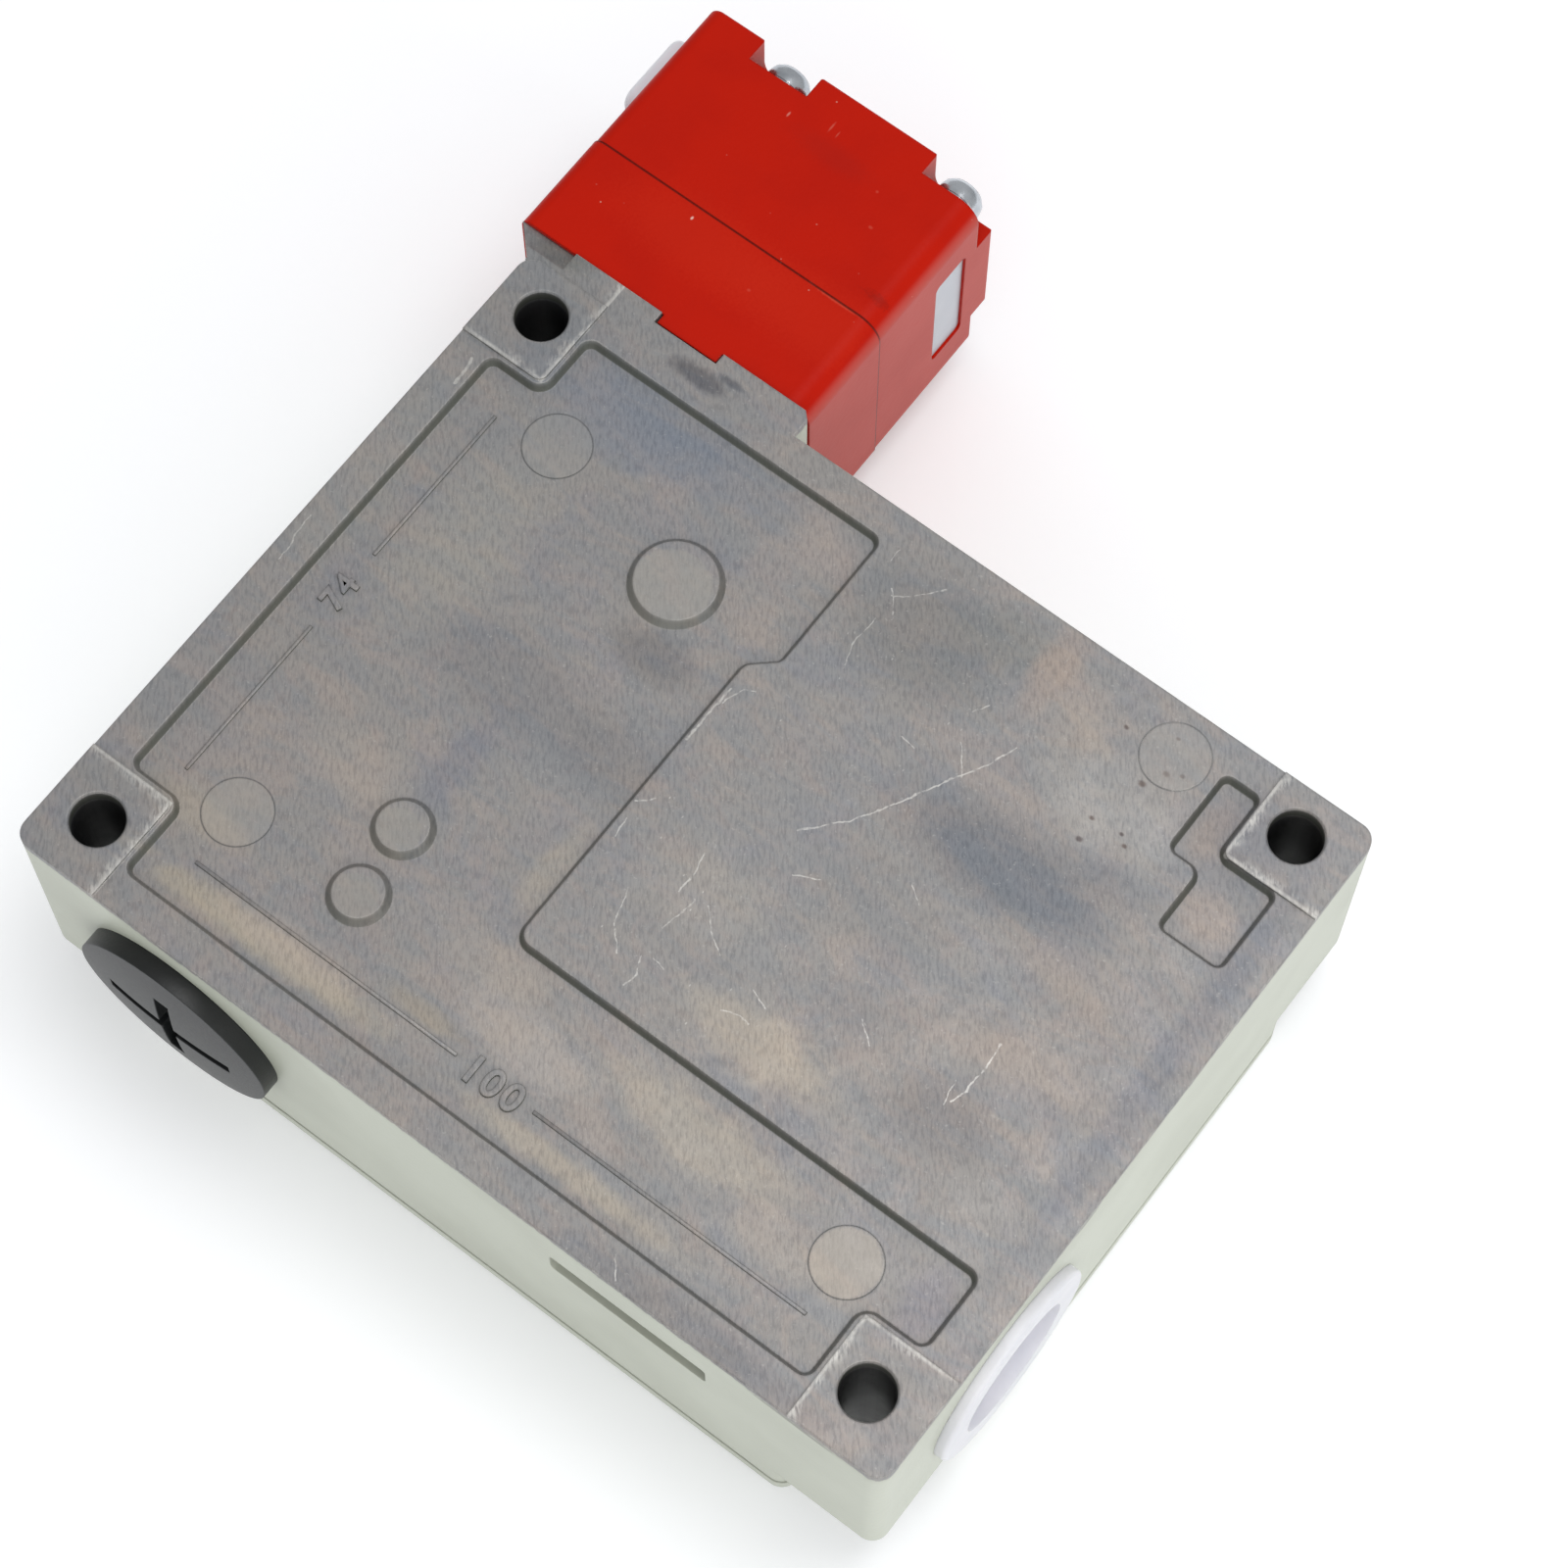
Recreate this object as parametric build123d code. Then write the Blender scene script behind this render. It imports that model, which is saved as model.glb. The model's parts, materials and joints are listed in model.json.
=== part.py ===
"""Safety door switch: a flat die-cast housing with a red two-part key head on a corner neck.

The frame has its origin at the centre of the four mounting holes, on the mounting face.
+Z points out of that face, +Y towards the head, +X to the right as seen from behind.
"""
import math
import os

from build123d import *

# Mounting pattern and corner pads
HOLE_PITCH_X = 100.0
HOLE_PITCH_Y = 74.0
MOUNT_HOLE_D = 6.0
HOLE_EDGE_BREAK = 0.2
PAD_RISE = 0.3
CORNER_X = 45.0
CORNER_Y = 30.7
LAND_Z = -28.5
NOTCH_R = 2.6
NOTCH_END_R = 2.0
NECK_WEB = 0.7

# Housing
HOUSING_LEFT, HOUSING_RIGHT = -55.9, 56.8
HOUSING_BOTTOM, HOUSING_TOP = -43.7, 42.3
HOUSING_CORNER_R = 2.0
BACK_Z = -PAD_RISE
RIM_Z = -32.5
WALL = 3.0
FLOOR_Z = -3.5
POST_WALL = 2.4
GASKET_T = 0.8
GASKET_SINK = 0.35
COVER_EDGE_H = 3.9
COVER_PLATE_T = 2.5
COVER_ROUND = 2.2
COVER_LIP_W = 3.0

# Recesses in the back face
RECESS_DEPTH = 1.0
RECESS_LEFT, RECESS_RIGHT = -51.7, 52.1
RECESS_BOTTOM, RECESS_TOP = -39.7, 38.4
RECESS_ARM_TOP = -20.5
RECESS_PAD_GAP = 0.4
RECESS_DRAFT = 29.0
ISLAND_LEFT, ISLAND_STEP_X = -7.3, -4.35
ISLAND_STEP_Y0, ISLAND_STEP_Y1 = 17.8, 20.4
RECESS_R = 1.5
PAD_CORNER_R = RECESS_R - RECESS_PAD_GAP
SIGN_POCKET_UPPER = (39.9, 27.8, 44.9, 38.6)
SIGN_POCKET_LOWER = (44.0, 20.1, 52.3, 30.8)
SIGN_POCKET_R = 1.2
STUDS = ((-19.1, 21.1, 5.3, 4.6), (-24.5, -18.2, 3.5, 2.8), (-23.5, -26.7, 3.5, 2.8))
STUD_SINK = 0.1

# Side openings
PLUG_X, PLUG_Z = -35.1, -17.7
CAP_Y, CAP_Z = -22.3, -16.5
ENTRY_D = 20.0
ENTRY_BOSS_WALL = 2.5
ENTRY_BOSS_D = ENTRY_D + 2 * ENTRY_BOSS_WALL
PLUG_BOSS_L = 10.7
CAP_BOSS_L = 7.8
SIDE_POCKET_X0, SIDE_POCKET_X1 = 14.7, 34.7
SIDE_POCKET_Z0, SIDE_POCKET_Z1 = -11.7, -7.8
SIDE_POCKET_DEPTH = 4.0

# Conduit plug and cap
PLUG_FLANGE_EDGE = 2.5
PLUG_FLANGE_D = ENTRY_D + 2 * PLUG_FLANGE_EDGE
PLUG_FLANGE_T = 2.2
PLUG_DOME = 0.9
PLUG_SHANK_L = 8.2
PLUG_WALL = 2.0
PLUG_BORE_D = ENTRY_D - 2 * PLUG_WALL
PLUG_FACE_T = 3.6
CROSS_L, CROSS_SHORT_L, CROSS_W, CROSS_DEPTH = 16.4, 14.8, 2.0, 1.6
PLUG_SEAL_EDGE, PLUG_SEAL_T = 1.4, 0.8
PLUG_SEAL_OD = ENTRY_D + 2 * PLUG_SEAL_EDGE
CAP_FLANGE_EDGE, CAP_FLANGE_T = 2.0, 1.4
CAP_FLANGE_D = ENTRY_D + 2 * CAP_FLANGE_EDGE
CAP_SHANK_L = 6.0
CAP_WALL, CAP_DISH_DEPTH = 2.0, 4.6
CAP_DISH_D = ENTRY_D - 2 * CAP_WALL

# Neck
NECK_LEFT, NECK_RIGHT = -51.8, -19.5
NECK_TOP = 45.5
NECK_FLARE_X = -59.4
NECK_FLARE_DROP = 0.9
NECK_HOLLOW_R = 4.5
NECK_CHAMFER = 0.8

# Head
HEAD_LEFT, HEAD_RIGHT = -59.6, -19.8
HEAD_BACK_Z, HEAD_FRONT_Z = -0.6, -32.6
HEAD_SEAM_Y = 58.35
HEAD_END_Y = 79.8
HEAD_RIGHT_R, HEAD_LEFT_R = 3.0, 1.7
HEAD_END_R = 0.8
CAP_STEP = 0.15
TAB_X0, TAB_X1 = -39.7, -31.7
TAB_Y0 = 44.3
TAB_T = 3.0
TAB_GAP = 0.25
NOTCH_FLOOR_Y = 76.7
HEAD_NOTCH_R = 4.0

# Head screws
HEAD_AXIS_X, HEAD_AXIS_Z = -35.9, -17.0
HEAD_SCREW_PITCH = 24.0
HEAD_SCREW_D = 3.0
HEAD_SCREW_HEAD_D, HEAD_SCREW_HEAD_H = 5.5, 2.7
HEAD_SCREW_TIP_Y = 42.3
WASHER_T, WASHER_D = 0.9, 5.5
HEAD_SEAL_ID, HEAD_SEAL_OD, HEAD_SEAL_T = 12.6, 16.0, 1.2

# Key slots
SLOT_Y0, SLOT_Y1 = 69.1, 74.6
SLOT_Z0, SLOT_Z1 = -24.7, -7.7
SLOT_CORNER_R = 0.8
INSERT_SINK = 0.35
INSERT_L = 6.5
SLOT_PLUG_FLANGE = (67.0, -27.0, 77.6, -7.0)
SLOT_PLUG_FLANGE_T = 3.3
SLOT_PLUG_L = 9.0

# Cam
CAM_Y = 62.0
CAM_R = 10.0
CAM_DROP = 3.0
CAM_TURN = 50.0
CAM_DWELL = 26.0
CAM_STEP = 4.0
CAM_H = 16.0
CAM_GAP = 0.5
CAM_SIDE_GAP = 0.8
CAVITY_R = 11.0
CAM_PIN_D, CAM_PIN_L = 4.0, 27.6
PIN_SUPPORT_Y = 60.0
KEY_NOTCH_ANGLE, KEY_NOTCH_W, KEY_NOTCH_DEPTH = 65.0, 5.0, 4.6
RUNNING = 0.05

# Plunger, at rest with the key out
PLUNGER_D = 6.0
TIP_R = 1.6
GUIDE_OD = 16.0
GUIDE_END_Y, SPRING_SHELF_Y = 30.0, 33.0
SPRING_CHAMBER_D = 11.0
SPRING_OD, SPRING_WIRE = 9.6, 1.0
SPRING_COLLAR_D, SPRING_COLLAR_T, COLLAR_HEADROOM = 10.4, 1.5, 0.4
SPRING_COLLAR_Y = NECK_TOP - COLLAR_HEADROOM - CAM_DROP - SPRING_COLLAR_T
LOCK_COLLAR_D, LOCK_COLLAR_T, LOCK_COLLAR_Y = 9.0, 1.0, 22.1
PLUNGER_END_Y = 19.0

# Contact block
BLOCK_X0, BLOCK_X1 = -51.2, -20.6
BLOCK_Y0, BLOCK_Y1 = -20.6, 13.0
BLOCK_Z0, BLOCK_Z1 = -27.0, -8.0
CHANNEL_W, CHANNEL_H = 8.2, 8.2
CHANNEL_END_Y = -17.0
SLIDER_W = 8.0
SLIDER_Y0, SLIDER_Y1 = -14.5, 15.0
CHAMBER_W, CHAMBER_Y0, CHAMBER_Y1 = 17.6, -11.0, 9.0
BRIDGE_GAP, BRIDGE_T, BRIDGE_H = 1.0, 0.7, 3.0
BRIDGE_L = CHAMBER_W - 2 * BRIDGE_GAP
BRIDGE_Y = (-8.0, 3.0)
CONTACT_GAP = 0.4
STRIP_W, STRIP_T = 5.0, 0.8
TERMINAL_RECESS_W, TERMINAL_LEDGE_Z = 5.6, -17.8
BLOCK_SCREW_D = 3.0
BLOCK_SCREW_Y, BLOCK_SCREW_SIDE, BLOCK_REST_Y = -15.2, 11.0, 9.4

# Solenoid
COIL_Y, COIL_Z = 24.1, -17.0
YOKE_X0, YOKE_X1, YOKE_T = 2.0, 40.0, 2.0
YOKE_W, YOKE_FRONT_Z = 22.0, -29.0
BOBBIN_FLANGE_D, BOBBIN_FLANGE_T, BOBBIN_TUBE_D = 23.0, 1.2, 11.2
COIL_D = 22.0
CORE_D, CORE_BORE_D = 8.6, 9.2
CORE_X0, CORE_X1 = -6.0, 30.0
CORE_COLLAR_D, CORE_COLLAR_T = 12.0, 1.2
POLE_L = 3.4
CORE_SPRING_D, CORE_SPRING_WIRE = 10.6, 0.8

# Lock plate with its keyhole: the hole clears the collar, the slot catches it
PLATE_T = 1.2
PLATE_W, PLATE_STEM_W = 15.0, 6.0
PLATE_X0, PLATE_X1, PLATE_STEM_X1 = -45.5, -28.6, -2.0
KEYHOLE_D, KEYHOLE_SLOT_W = 10.0, 6.8
LOCK_STROKE = 4.0

# Terminal row
TERM_X0, TERM_X1 = -8.0, 34.0
TERM_Y0, TERM_Y1 = -33.0, -21.0
TERM_Z = -18.0
TERM_BAY = 5.0
TERM_LUG_L, TERM_LUG_W, TERM_LUG_Z, TERM_LUG_T = 6.6, 7.0, -9.0, 3.0
TERM_COUNT, TERM_PITCH, TERM_SCREW_D, TERM_HEAD_D = 6, 6.6, 3.0, 5.2
CLAMP_W, CLAMP_T = 5.4, 0.8

# Cover screws and earth screw
COVER_SCREWS = ((-49.8, 25.4), (-49.8, -25.4), (50.6, 25.4), (38.0, -37.7))
COVER_POST_R, COVER_SCREW_D, COVER_SCREW_L = 3.6, 4.0, 10.0
COVER_HEAD_D, COVER_HEAD_H, COVER_SINK_D, COVER_SINK = 7.4, 2.2, 8.4, 2.6
EARTH_X, EARTH_Y, EARTH_BOSS_D, EARTH_BOSS_Z = 20.0, -8.0, 9.0, -9.0
YOKE_SCREWS = ((8.0, 9.6), (34.0, 9.6))
YOKE_SCREW_TIP_Z = -1.0
YOKE_LUG_W, SMALL_SCREW_D, SMALL_HEAD_D, SMALL_HEAD_H = 7.0, 3.0, 5.4, 2.2
EARTH_D, EARTH_HEAD_D, EARTH_HEAD_H, EARTH_WASHER_D = 4.0, 7.4, 2.4, 9.0

ALONG_Y = Plane(origin=(0, 0, 0), x_dir=(1, 0, 0), z_dir=(0, 1, 0))
ALONG_X = Plane(origin=(0, 0, 0), x_dir=(0, 1, 0), z_dir=(1, 0, 0))


def block(x0, y0, z0, x1, y1, z1):
    """Box between two opposite corners."""
    box = Box(abs(x1 - x0), abs(y1 - y0), abs(z1 - z0))
    return Pos((x0 + x1) / 2, (y0 + y1) / 2, (z0 + z1) / 2) * box


def rod_x(y, z, x0, x1, d):
    """Cylinder along X."""
    axis = Pos((x0 + x1) / 2, y, z) * Rot(0, 90, 0)
    return axis * Cylinder(d / 2, abs(x1 - x0))


def rod_y(x, z, y0, y1, d):
    """Cylinder along Y."""
    axis = Pos(x, (y0 + y1) / 2, z) * Rot(90, 0, 0)
    return axis * Cylinder(d / 2, abs(y1 - y0))


def rod_z(x, y, z0, z1, d):
    """Cylinder along Z."""
    return Pos(x, y, (z0 + z1) / 2) * Cylinder(d / 2, abs(z1 - z0))


def plate(outline, z0, z1):
    """Prism of a face drawn in the XY plane, between two heights."""
    low, high = min(z0, z1), max(z0, z1)
    return Pos(0, 0, low) * extrude(outline, amount=high - low)


def rounded_box(x0, y0, x1, y1, z0, z1, r):
    """Box with its four vertical edges rounded."""
    face = Pos((x0 + x1) / 2, (y0 + y1) / 2) * RectangleRounded(abs(x1 - x0), abs(y1 - y0), r)
    return plate(face, z0, z1)


def save(name, shape):
    """Write one node."""
    export_step(shape, f"parts/{name}.step")


def group(shapes):
    """Several separate solids kept as one node."""
    solids = []
    for shape in shapes:
        solids.extend(shape.solids())
    return Compound(children=solids)


def corners(inset=0.0):
    """The four corner squares of the housing, enlarged inwards by inset."""
    x, y = CORNER_X - inset, CORNER_Y - inset
    return (
        (HOUSING_LEFT, HOUSING_BOTTOM, -x, -y),
        (x, HOUSING_BOTTOM, HOUSING_RIGHT, -y),
        (x, y, HOUSING_RIGHT, HOUSING_TOP),
        (HOUSING_LEFT, y, -x, HOUSING_TOP),
    )


def cross_face(inset=0.0):
    """The housing's outline below the lands, without the four corner squares."""
    left, right = HOUSING_LEFT + inset, HOUSING_RIGHT - inset
    low, high = HOUSING_BOTTOM + inset, HOUSING_TOP - inset
    x, y = CORNER_X - inset, CORNER_Y - inset
    face = make_face(Polyline(
        (-x, low), (x, low), (x, -y), (right, -y), (right, y), (x, y),
        (x, high), (-x, high), (-x, y), (left, y), (left, -y), (-x, -y), close=True))
    inner = face.vertices().filter_by(lambda v: abs(abs(v.X) - x) + abs(abs(v.Y) - y) < 0.01)
    face = fillet(inner, NOTCH_R)
    outer = face.vertices().filter_by(lambda v: abs(v.X - left) < 0.01 or abs(v.X - right) < 0.01
                                      or abs(v.Y - low) < 0.01 or abs(v.Y - high) < 0.01)
    return fillet(outer, NOTCH_END_R)


def corner_blocks(z0, z1, inset, r):
    """Corner squares as solids that run past the outline, rounded at their inner edge."""
    spare = 4.0
    shapes = []
    for x0, y0, x1, y1 in corners(inset):
        left, right = (x0 - spare, x1) if x0 < 0 else (x0, x1 + spare)
        low, high = (y0 - spare, y1) if y0 < 0 else (y0, y1 + spare)
        shapes.append(rounded_box(left, low, right, high, z0, z1, r))
    return shapes


def outline_solid(z0, z1, inset=0.0):
    """Full housing outline between two heights."""
    return rounded_box(HOUSING_LEFT + inset, HOUSING_BOTTOM + inset, HOUSING_RIGHT - inset,
                       HOUSING_TOP - inset, z0, z1, max(HOUSING_CORNER_R - inset, 0.6))


def mount_holes():
    """Centres of the four mounting holes."""
    x, y = HOLE_PITCH_X / 2, HOLE_PITCH_Y / 2
    return ((-x, -y), (x, -y), (x, y), (-x, y))


def head_screw_axes():
    """Positions (x, z) of the head's four screws."""
    half = HEAD_SCREW_PITCH / 2
    return [(HEAD_AXIS_X + i * half, HEAD_AXIS_Z + k * half) for i in (-1, 1) for k in (-1, 1)]


def drafted_pocket(mouth):
    """Cutter for a pocket in the back face whose walls lean out towards its mouth."""
    cutter = extrude(Pos(0, 0, BACK_Z) * mouth, amount=RECESS_DEPTH, dir=(0, 0, -1),
                     taper=RECESS_DRAFT)
    return cutter + plate(mouth, BACK_Z, 1.0)


def recess_tool():
    """The L-shaped recess round the raised island, clear of the three pads it meets."""
    low_x, low_y = -CORNER_X + RECESS_PAD_GAP, -CORNER_Y + RECESS_PAD_GAP
    points = [
        (RECESS_LEFT, low_y), (low_x, low_y), (low_x, RECESS_BOTTOM),
        (CORNER_X - RECESS_PAD_GAP, RECESS_BOTTOM), (CORNER_X - RECESS_PAD_GAP, low_y),
        (RECESS_RIGHT, low_y), (RECESS_RIGHT, RECESS_ARM_TOP), (ISLAND_LEFT, RECESS_ARM_TOP),
        (ISLAND_LEFT, ISLAND_STEP_Y0), (ISLAND_STEP_X, ISLAND_STEP_Y1),
        (ISLAND_STEP_X, RECESS_TOP), (low_x, RECESS_TOP), (low_x, -low_y), (RECESS_LEFT, -low_y),
    ]
    face = make_face(Polyline(*points, close=True))
    return drafted_pocket(fillet(face.vertices(), RECESS_R))


def sign_pocket_tool():
    """The stepped pocket beside the upper right pad."""
    x0, y0, x1, y1 = SIGN_POCKET_UPPER
    u0, v0, u1, v1 = SIGN_POCKET_LOWER
    upper = Pos((x0 + x1) / 2, (y0 + y1) / 2) * Rectangle(x1 - x0, y1 - y0)
    lower = Pos((u0 + u1) / 2, (v0 + v1) / 2) * Rectangle(u1 - u0, v1 - v0)
    return drafted_pocket(fillet((upper + lower).vertices(), SIGN_POCKET_R))


def neck_hollow():
    """The hollow along the back edge of the neck's flare."""
    middle = BACK_Z - NECK_FLARE_DROP + NECK_HOLLOW_R
    return rod_x(NECK_TOP + 0.2, middle, NECK_FLARE_X - 5, NECK_LEFT, 2 * NECK_HOLLOW_R)


def neck_solid():
    """The neck under the head, with its flare towards the left corner."""
    root = HOUSING_TOP - NECK_WEB
    main = block(NECK_LEFT, root, RIM_Z, NECK_RIGHT, NECK_TOP, BACK_Z)
    edge = main.edges().filter_by(Axis.Z).sort_by(Axis.X)[-2:]
    main = chamfer(edge.sort_by(Axis.Y)[-1:], NECK_CHAMFER)
    start = (HOUSING_LEFT, HOUSING_TOP - 0.4)
    end = (NECK_FLARE_X, NECK_TOP)
    outline = Polyline(start, end, (NECK_LEFT + 1, NECK_TOP), (NECK_LEFT + 1, root),
                       (HOUSING_LEFT, root), close=True)
    flare = plate(make_face(outline), RIM_Z, BACK_Z)
    return main + flare - neck_hollow()


def rear_housing():
    """Die-cast housing: shell, corner posts, neck and every boss inside."""
    left, right = HOUSING_LEFT + WALL, HOUSING_RIGHT - WALL
    low, high = HOUSING_BOTTOM + WALL, HOUSING_TOP - WALL
    cavity = block(left, low, RIM_Z - 1.0, right, high, FLOOR_Z)
    for tool in corner_blocks(RIM_Z - 2.0, FLOOR_Z + 1.0, POST_WALL, NOTCH_R + POST_WALL):
        cavity -= tool
    body = outline_solid(LAND_Z, BACK_Z) + plate(cross_face(), RIM_Z, LAND_Z)
    body = body + neck_solid() - cavity

    body += rod_y(PLUG_X, PLUG_Z, HOUSING_BOTTOM + 0.5, HOUSING_BOTTOM + PLUG_BOSS_L, ENTRY_BOSS_D)
    body += rod_x(CAP_Y, CAP_Z, HOUSING_RIGHT - 0.5, HOUSING_RIGHT - CAP_BOSS_L, ENTRY_BOSS_D)
    body += block(SIDE_POCKET_X0 - 2.4, HOUSING_BOTTOM + 1.0, SIDE_POCKET_Z0 - 2.4,
                  SIDE_POCKET_X1 + 2.4, HOUSING_BOTTOM + SIDE_POCKET_DEPTH + 2.4, FLOOR_Z + 0.5)
    body += rod_y(HEAD_AXIS_X, HEAD_AXIS_Z, GUIDE_END_Y, HOUSING_TOP - 0.5, GUIDE_OD)
    for x, y in COVER_SCREWS:
        body += rod_z(x, y, RIM_Z, FLOOR_Z + 0.5, 2 * COVER_POST_R)
    for x, y in block_screw_axes():
        body += rod_z(x, y, BLOCK_Z1, FLOOR_Z + 0.5, 2.4 * BLOCK_SCREW_D)
        body += rod_z(x, BLOCK_REST_Y, BLOCK_Z1, FLOOR_Z + 0.5, 2.0 * BLOCK_SCREW_D)
    for x, y in terminal_lugs():
        body += rod_z(x, y, TERM_LUG_Z, FLOOR_Z + 0.5, 2.1 * SMALL_SCREW_D)
    body += rod_z(EARTH_X, EARTH_Y, EARTH_BOSS_Z, FLOOR_Z + 0.5, EARTH_BOSS_D)

    body -= recess_tool()
    body -= sign_pocket_tool()
    floor = BACK_Z - RECESS_DEPTH
    for x, y, r_low, r_top in STUDS:
        height = RECESS_DEPTH - STUD_SINK
        body += Pos(x, y, floor + height / 2) * Cone(r_low, r_top, height)
    for pad in corner_blocks(BACK_Z - PAD_RISE, 0.0, 0.0, PAD_CORNER_R):
        body += pad
    body -= neck_hollow()
    body &= outline_solid(RIM_Z, 0.0) + neck_solid()

    for x, y in mount_holes():
        body -= rod_z(x, y, LAND_Z - 1, 1, MOUNT_HOLE_D)
        r = MOUNT_HOLE_D / 2
        body -= Pos(x, y, -HOLE_EDGE_BREAK / 2) * Cone(r, r + HOLE_EDGE_BREAK, HOLE_EDGE_BREAK)
    body -= rod_y(PLUG_X, PLUG_Z, HOUSING_BOTTOM - 1, HOUSING_BOTTOM + PLUG_BOSS_L + 1, ENTRY_D)
    body -= rod_x(CAP_Y, CAP_Z, HOUSING_RIGHT + 1, HOUSING_RIGHT - CAP_BOSS_L - 1, ENTRY_D)
    body -= rounded_y_box(SIDE_POCKET_X0, SIDE_POCKET_Z0, SIDE_POCKET_X1, SIDE_POCKET_Z1,
                          HOUSING_BOTTOM - 1, HOUSING_BOTTOM + SIDE_POCKET_DEPTH, 0.6)
    body -= rod_y(HEAD_AXIS_X, HEAD_AXIS_Z, SPRING_SHELF_Y, NECK_TOP + 1, SPRING_CHAMBER_D)
    body -= rod_y(HEAD_AXIS_X, HEAD_AXIS_Z, GUIDE_END_Y - 1, SPRING_SHELF_Y + 1,
                  PLUNGER_D + 2 * RUNNING)
    for x, z in head_screw_axes():
        body -= rod_y(x, z, HEAD_SCREW_TIP_Y, NECK_TOP + 1, HEAD_SCREW_D)
    body -= block(TAB_X0 - TAB_GAP, TAB_Y0 - TAB_GAP, HEAD_BACK_Z - TAB_T - TAB_GAP,
                  TAB_X1 + TAB_GAP, NECK_TOP + 1, 1.0)
    top = RIM_Z + COVER_SCREW_L - GASKET_T
    for x, y in COVER_SCREWS:
        body -= rod_z(x, y, RIM_Z - 1, top, COVER_SCREW_D)
    for x, y in block_screw_axes():
        body -= rod_z(x, y, BLOCK_Z1 - 1, FLOOR_Z, BLOCK_SCREW_D)
    for x, y in terminal_lugs():
        body -= rod_z(x, y, TERM_LUG_Z - 1, FLOOR_Z, SMALL_SCREW_D)
    for x, y in YOKE_SCREWS:
        body -= rod_z(x, y, FLOOR_Z - 1, YOKE_SCREW_TIP_Z, SMALL_SCREW_D)
    body -= rod_z(EARTH_X, EARTH_Y, EARTH_BOSS_Z - 1, FLOOR_Z, EARTH_D)
    return body


def rounded_y_box(x0, z0, x1, z1, y0, y1, r):
    """Box whose four edges along Y are rounded."""
    face = ALONG_Y * (Pos((x0 + x1) / 2, -(z0 + z1) / 2)
                      * RectangleRounded(abs(x1 - x0), abs(z1 - z0), r))
    low, high = min(y0, y1), max(y0, y1)
    return Pos(0, low, 0) * extrude(face, amount=high - low)


def rounded_x_box(y0, z0, y1, z1, x0, x1, r):
    """Box whose four edges along X are rounded."""
    face = ALONG_X * (Pos((y0 + y1) / 2, (z0 + z1) / 2)
                      * RectangleRounded(abs(y1 - y0), abs(z1 - z0), r))
    low, high = min(x0, x1), max(x0, x1)
    return Pos(low, 0, 0) * extrude(face, amount=high - low)


def rim_ring(z0, z1, inset):
    """The band over the housing's rim, with a disc over each cover-screw post."""
    left, right = HOUSING_LEFT + COVER_LIP_W, HOUSING_RIGHT - COVER_LIP_W
    low, high = HOUSING_BOTTOM + COVER_LIP_W, HOUSING_TOP - COVER_LIP_W
    inner = block(left, low, z0 - 1, right, high, z1 + 1)
    for tool in corner_blocks(z0 - 3, z1 + 3, POST_WALL, NOTCH_R + POST_WALL):
        inner -= tool
    for x, y in COVER_SCREWS:
        inner -= rod_z(x, y, z0 - 2, z1 + 2, 2 * COVER_POST_R)
    return plate(cross_face(inset), z0, z1) - inner


def cover_gasket():
    """Flat gasket on the rim."""
    ring = rim_ring(RIM_Z - GASKET_T, RIM_Z, GASKET_SINK)
    for x, y in COVER_SCREWS:
        ring -= rod_z(x, y, RIM_Z - 2, RIM_Z + 1, COVER_SCREW_D)
    return ring


def front_cover():
    """Shallow cover with a rounded front edge and sunk screw seats."""
    back = RIM_Z - GASKET_T
    front = back - COVER_EDGE_H
    shell = plate(cross_face(), front, back)
    shell = fillet(shell.faces().sort_by(Axis.Z)[0].outer_wire().edges(), COVER_ROUND)
    left, right = HOUSING_LEFT + COVER_LIP_W, HOUSING_RIGHT - COVER_LIP_W
    low, high = HOUSING_BOTTOM + COVER_LIP_W, HOUSING_TOP - COVER_LIP_W
    inner = block(left, low, front + COVER_PLATE_T, right, high, back + 1)
    for tool in corner_blocks(front - 1, back + 2, POST_WALL, NOTCH_R + POST_WALL):
        inner -= tool
    for x, y in COVER_SCREWS:
        inner -= rod_z(x, y, front, back + 2, COVER_SINK_D + 2.4)
    cover = shell - inner
    for x, y in COVER_SCREWS:
        cover -= rod_z(x, y, front - 1, back + 1, COVER_SCREW_D)
        cover -= rod_z(x, y, front - 1, front + COVER_SINK, COVER_SINK_D)
    return cover


def cover_screws():
    """Pan-head screws of the cover, seated in their sinks."""
    seat = RIM_Z - GASKET_T - COVER_EDGE_H + COVER_SINK
    screws = []
    for x, y in COVER_SCREWS:
        screw = rod_z(x, y, seat - COVER_HEAD_H, seat, COVER_HEAD_D)
        screw = fillet(screw.edges().sort_by(Axis.Z)[0], 0.8)
        screw += rod_z(x, y, seat, RIM_Z + COVER_SCREW_L - GASKET_T - 0.5, COVER_SCREW_D)
        for angle in (0, 90):
            slot = Pos(x, y, seat - COVER_HEAD_H) * Rot(0, 0, angle) * Box(4.4, 0.9, 2.4)
            screw -= slot
        screws.append(screw)
    return group(screws)


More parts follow.
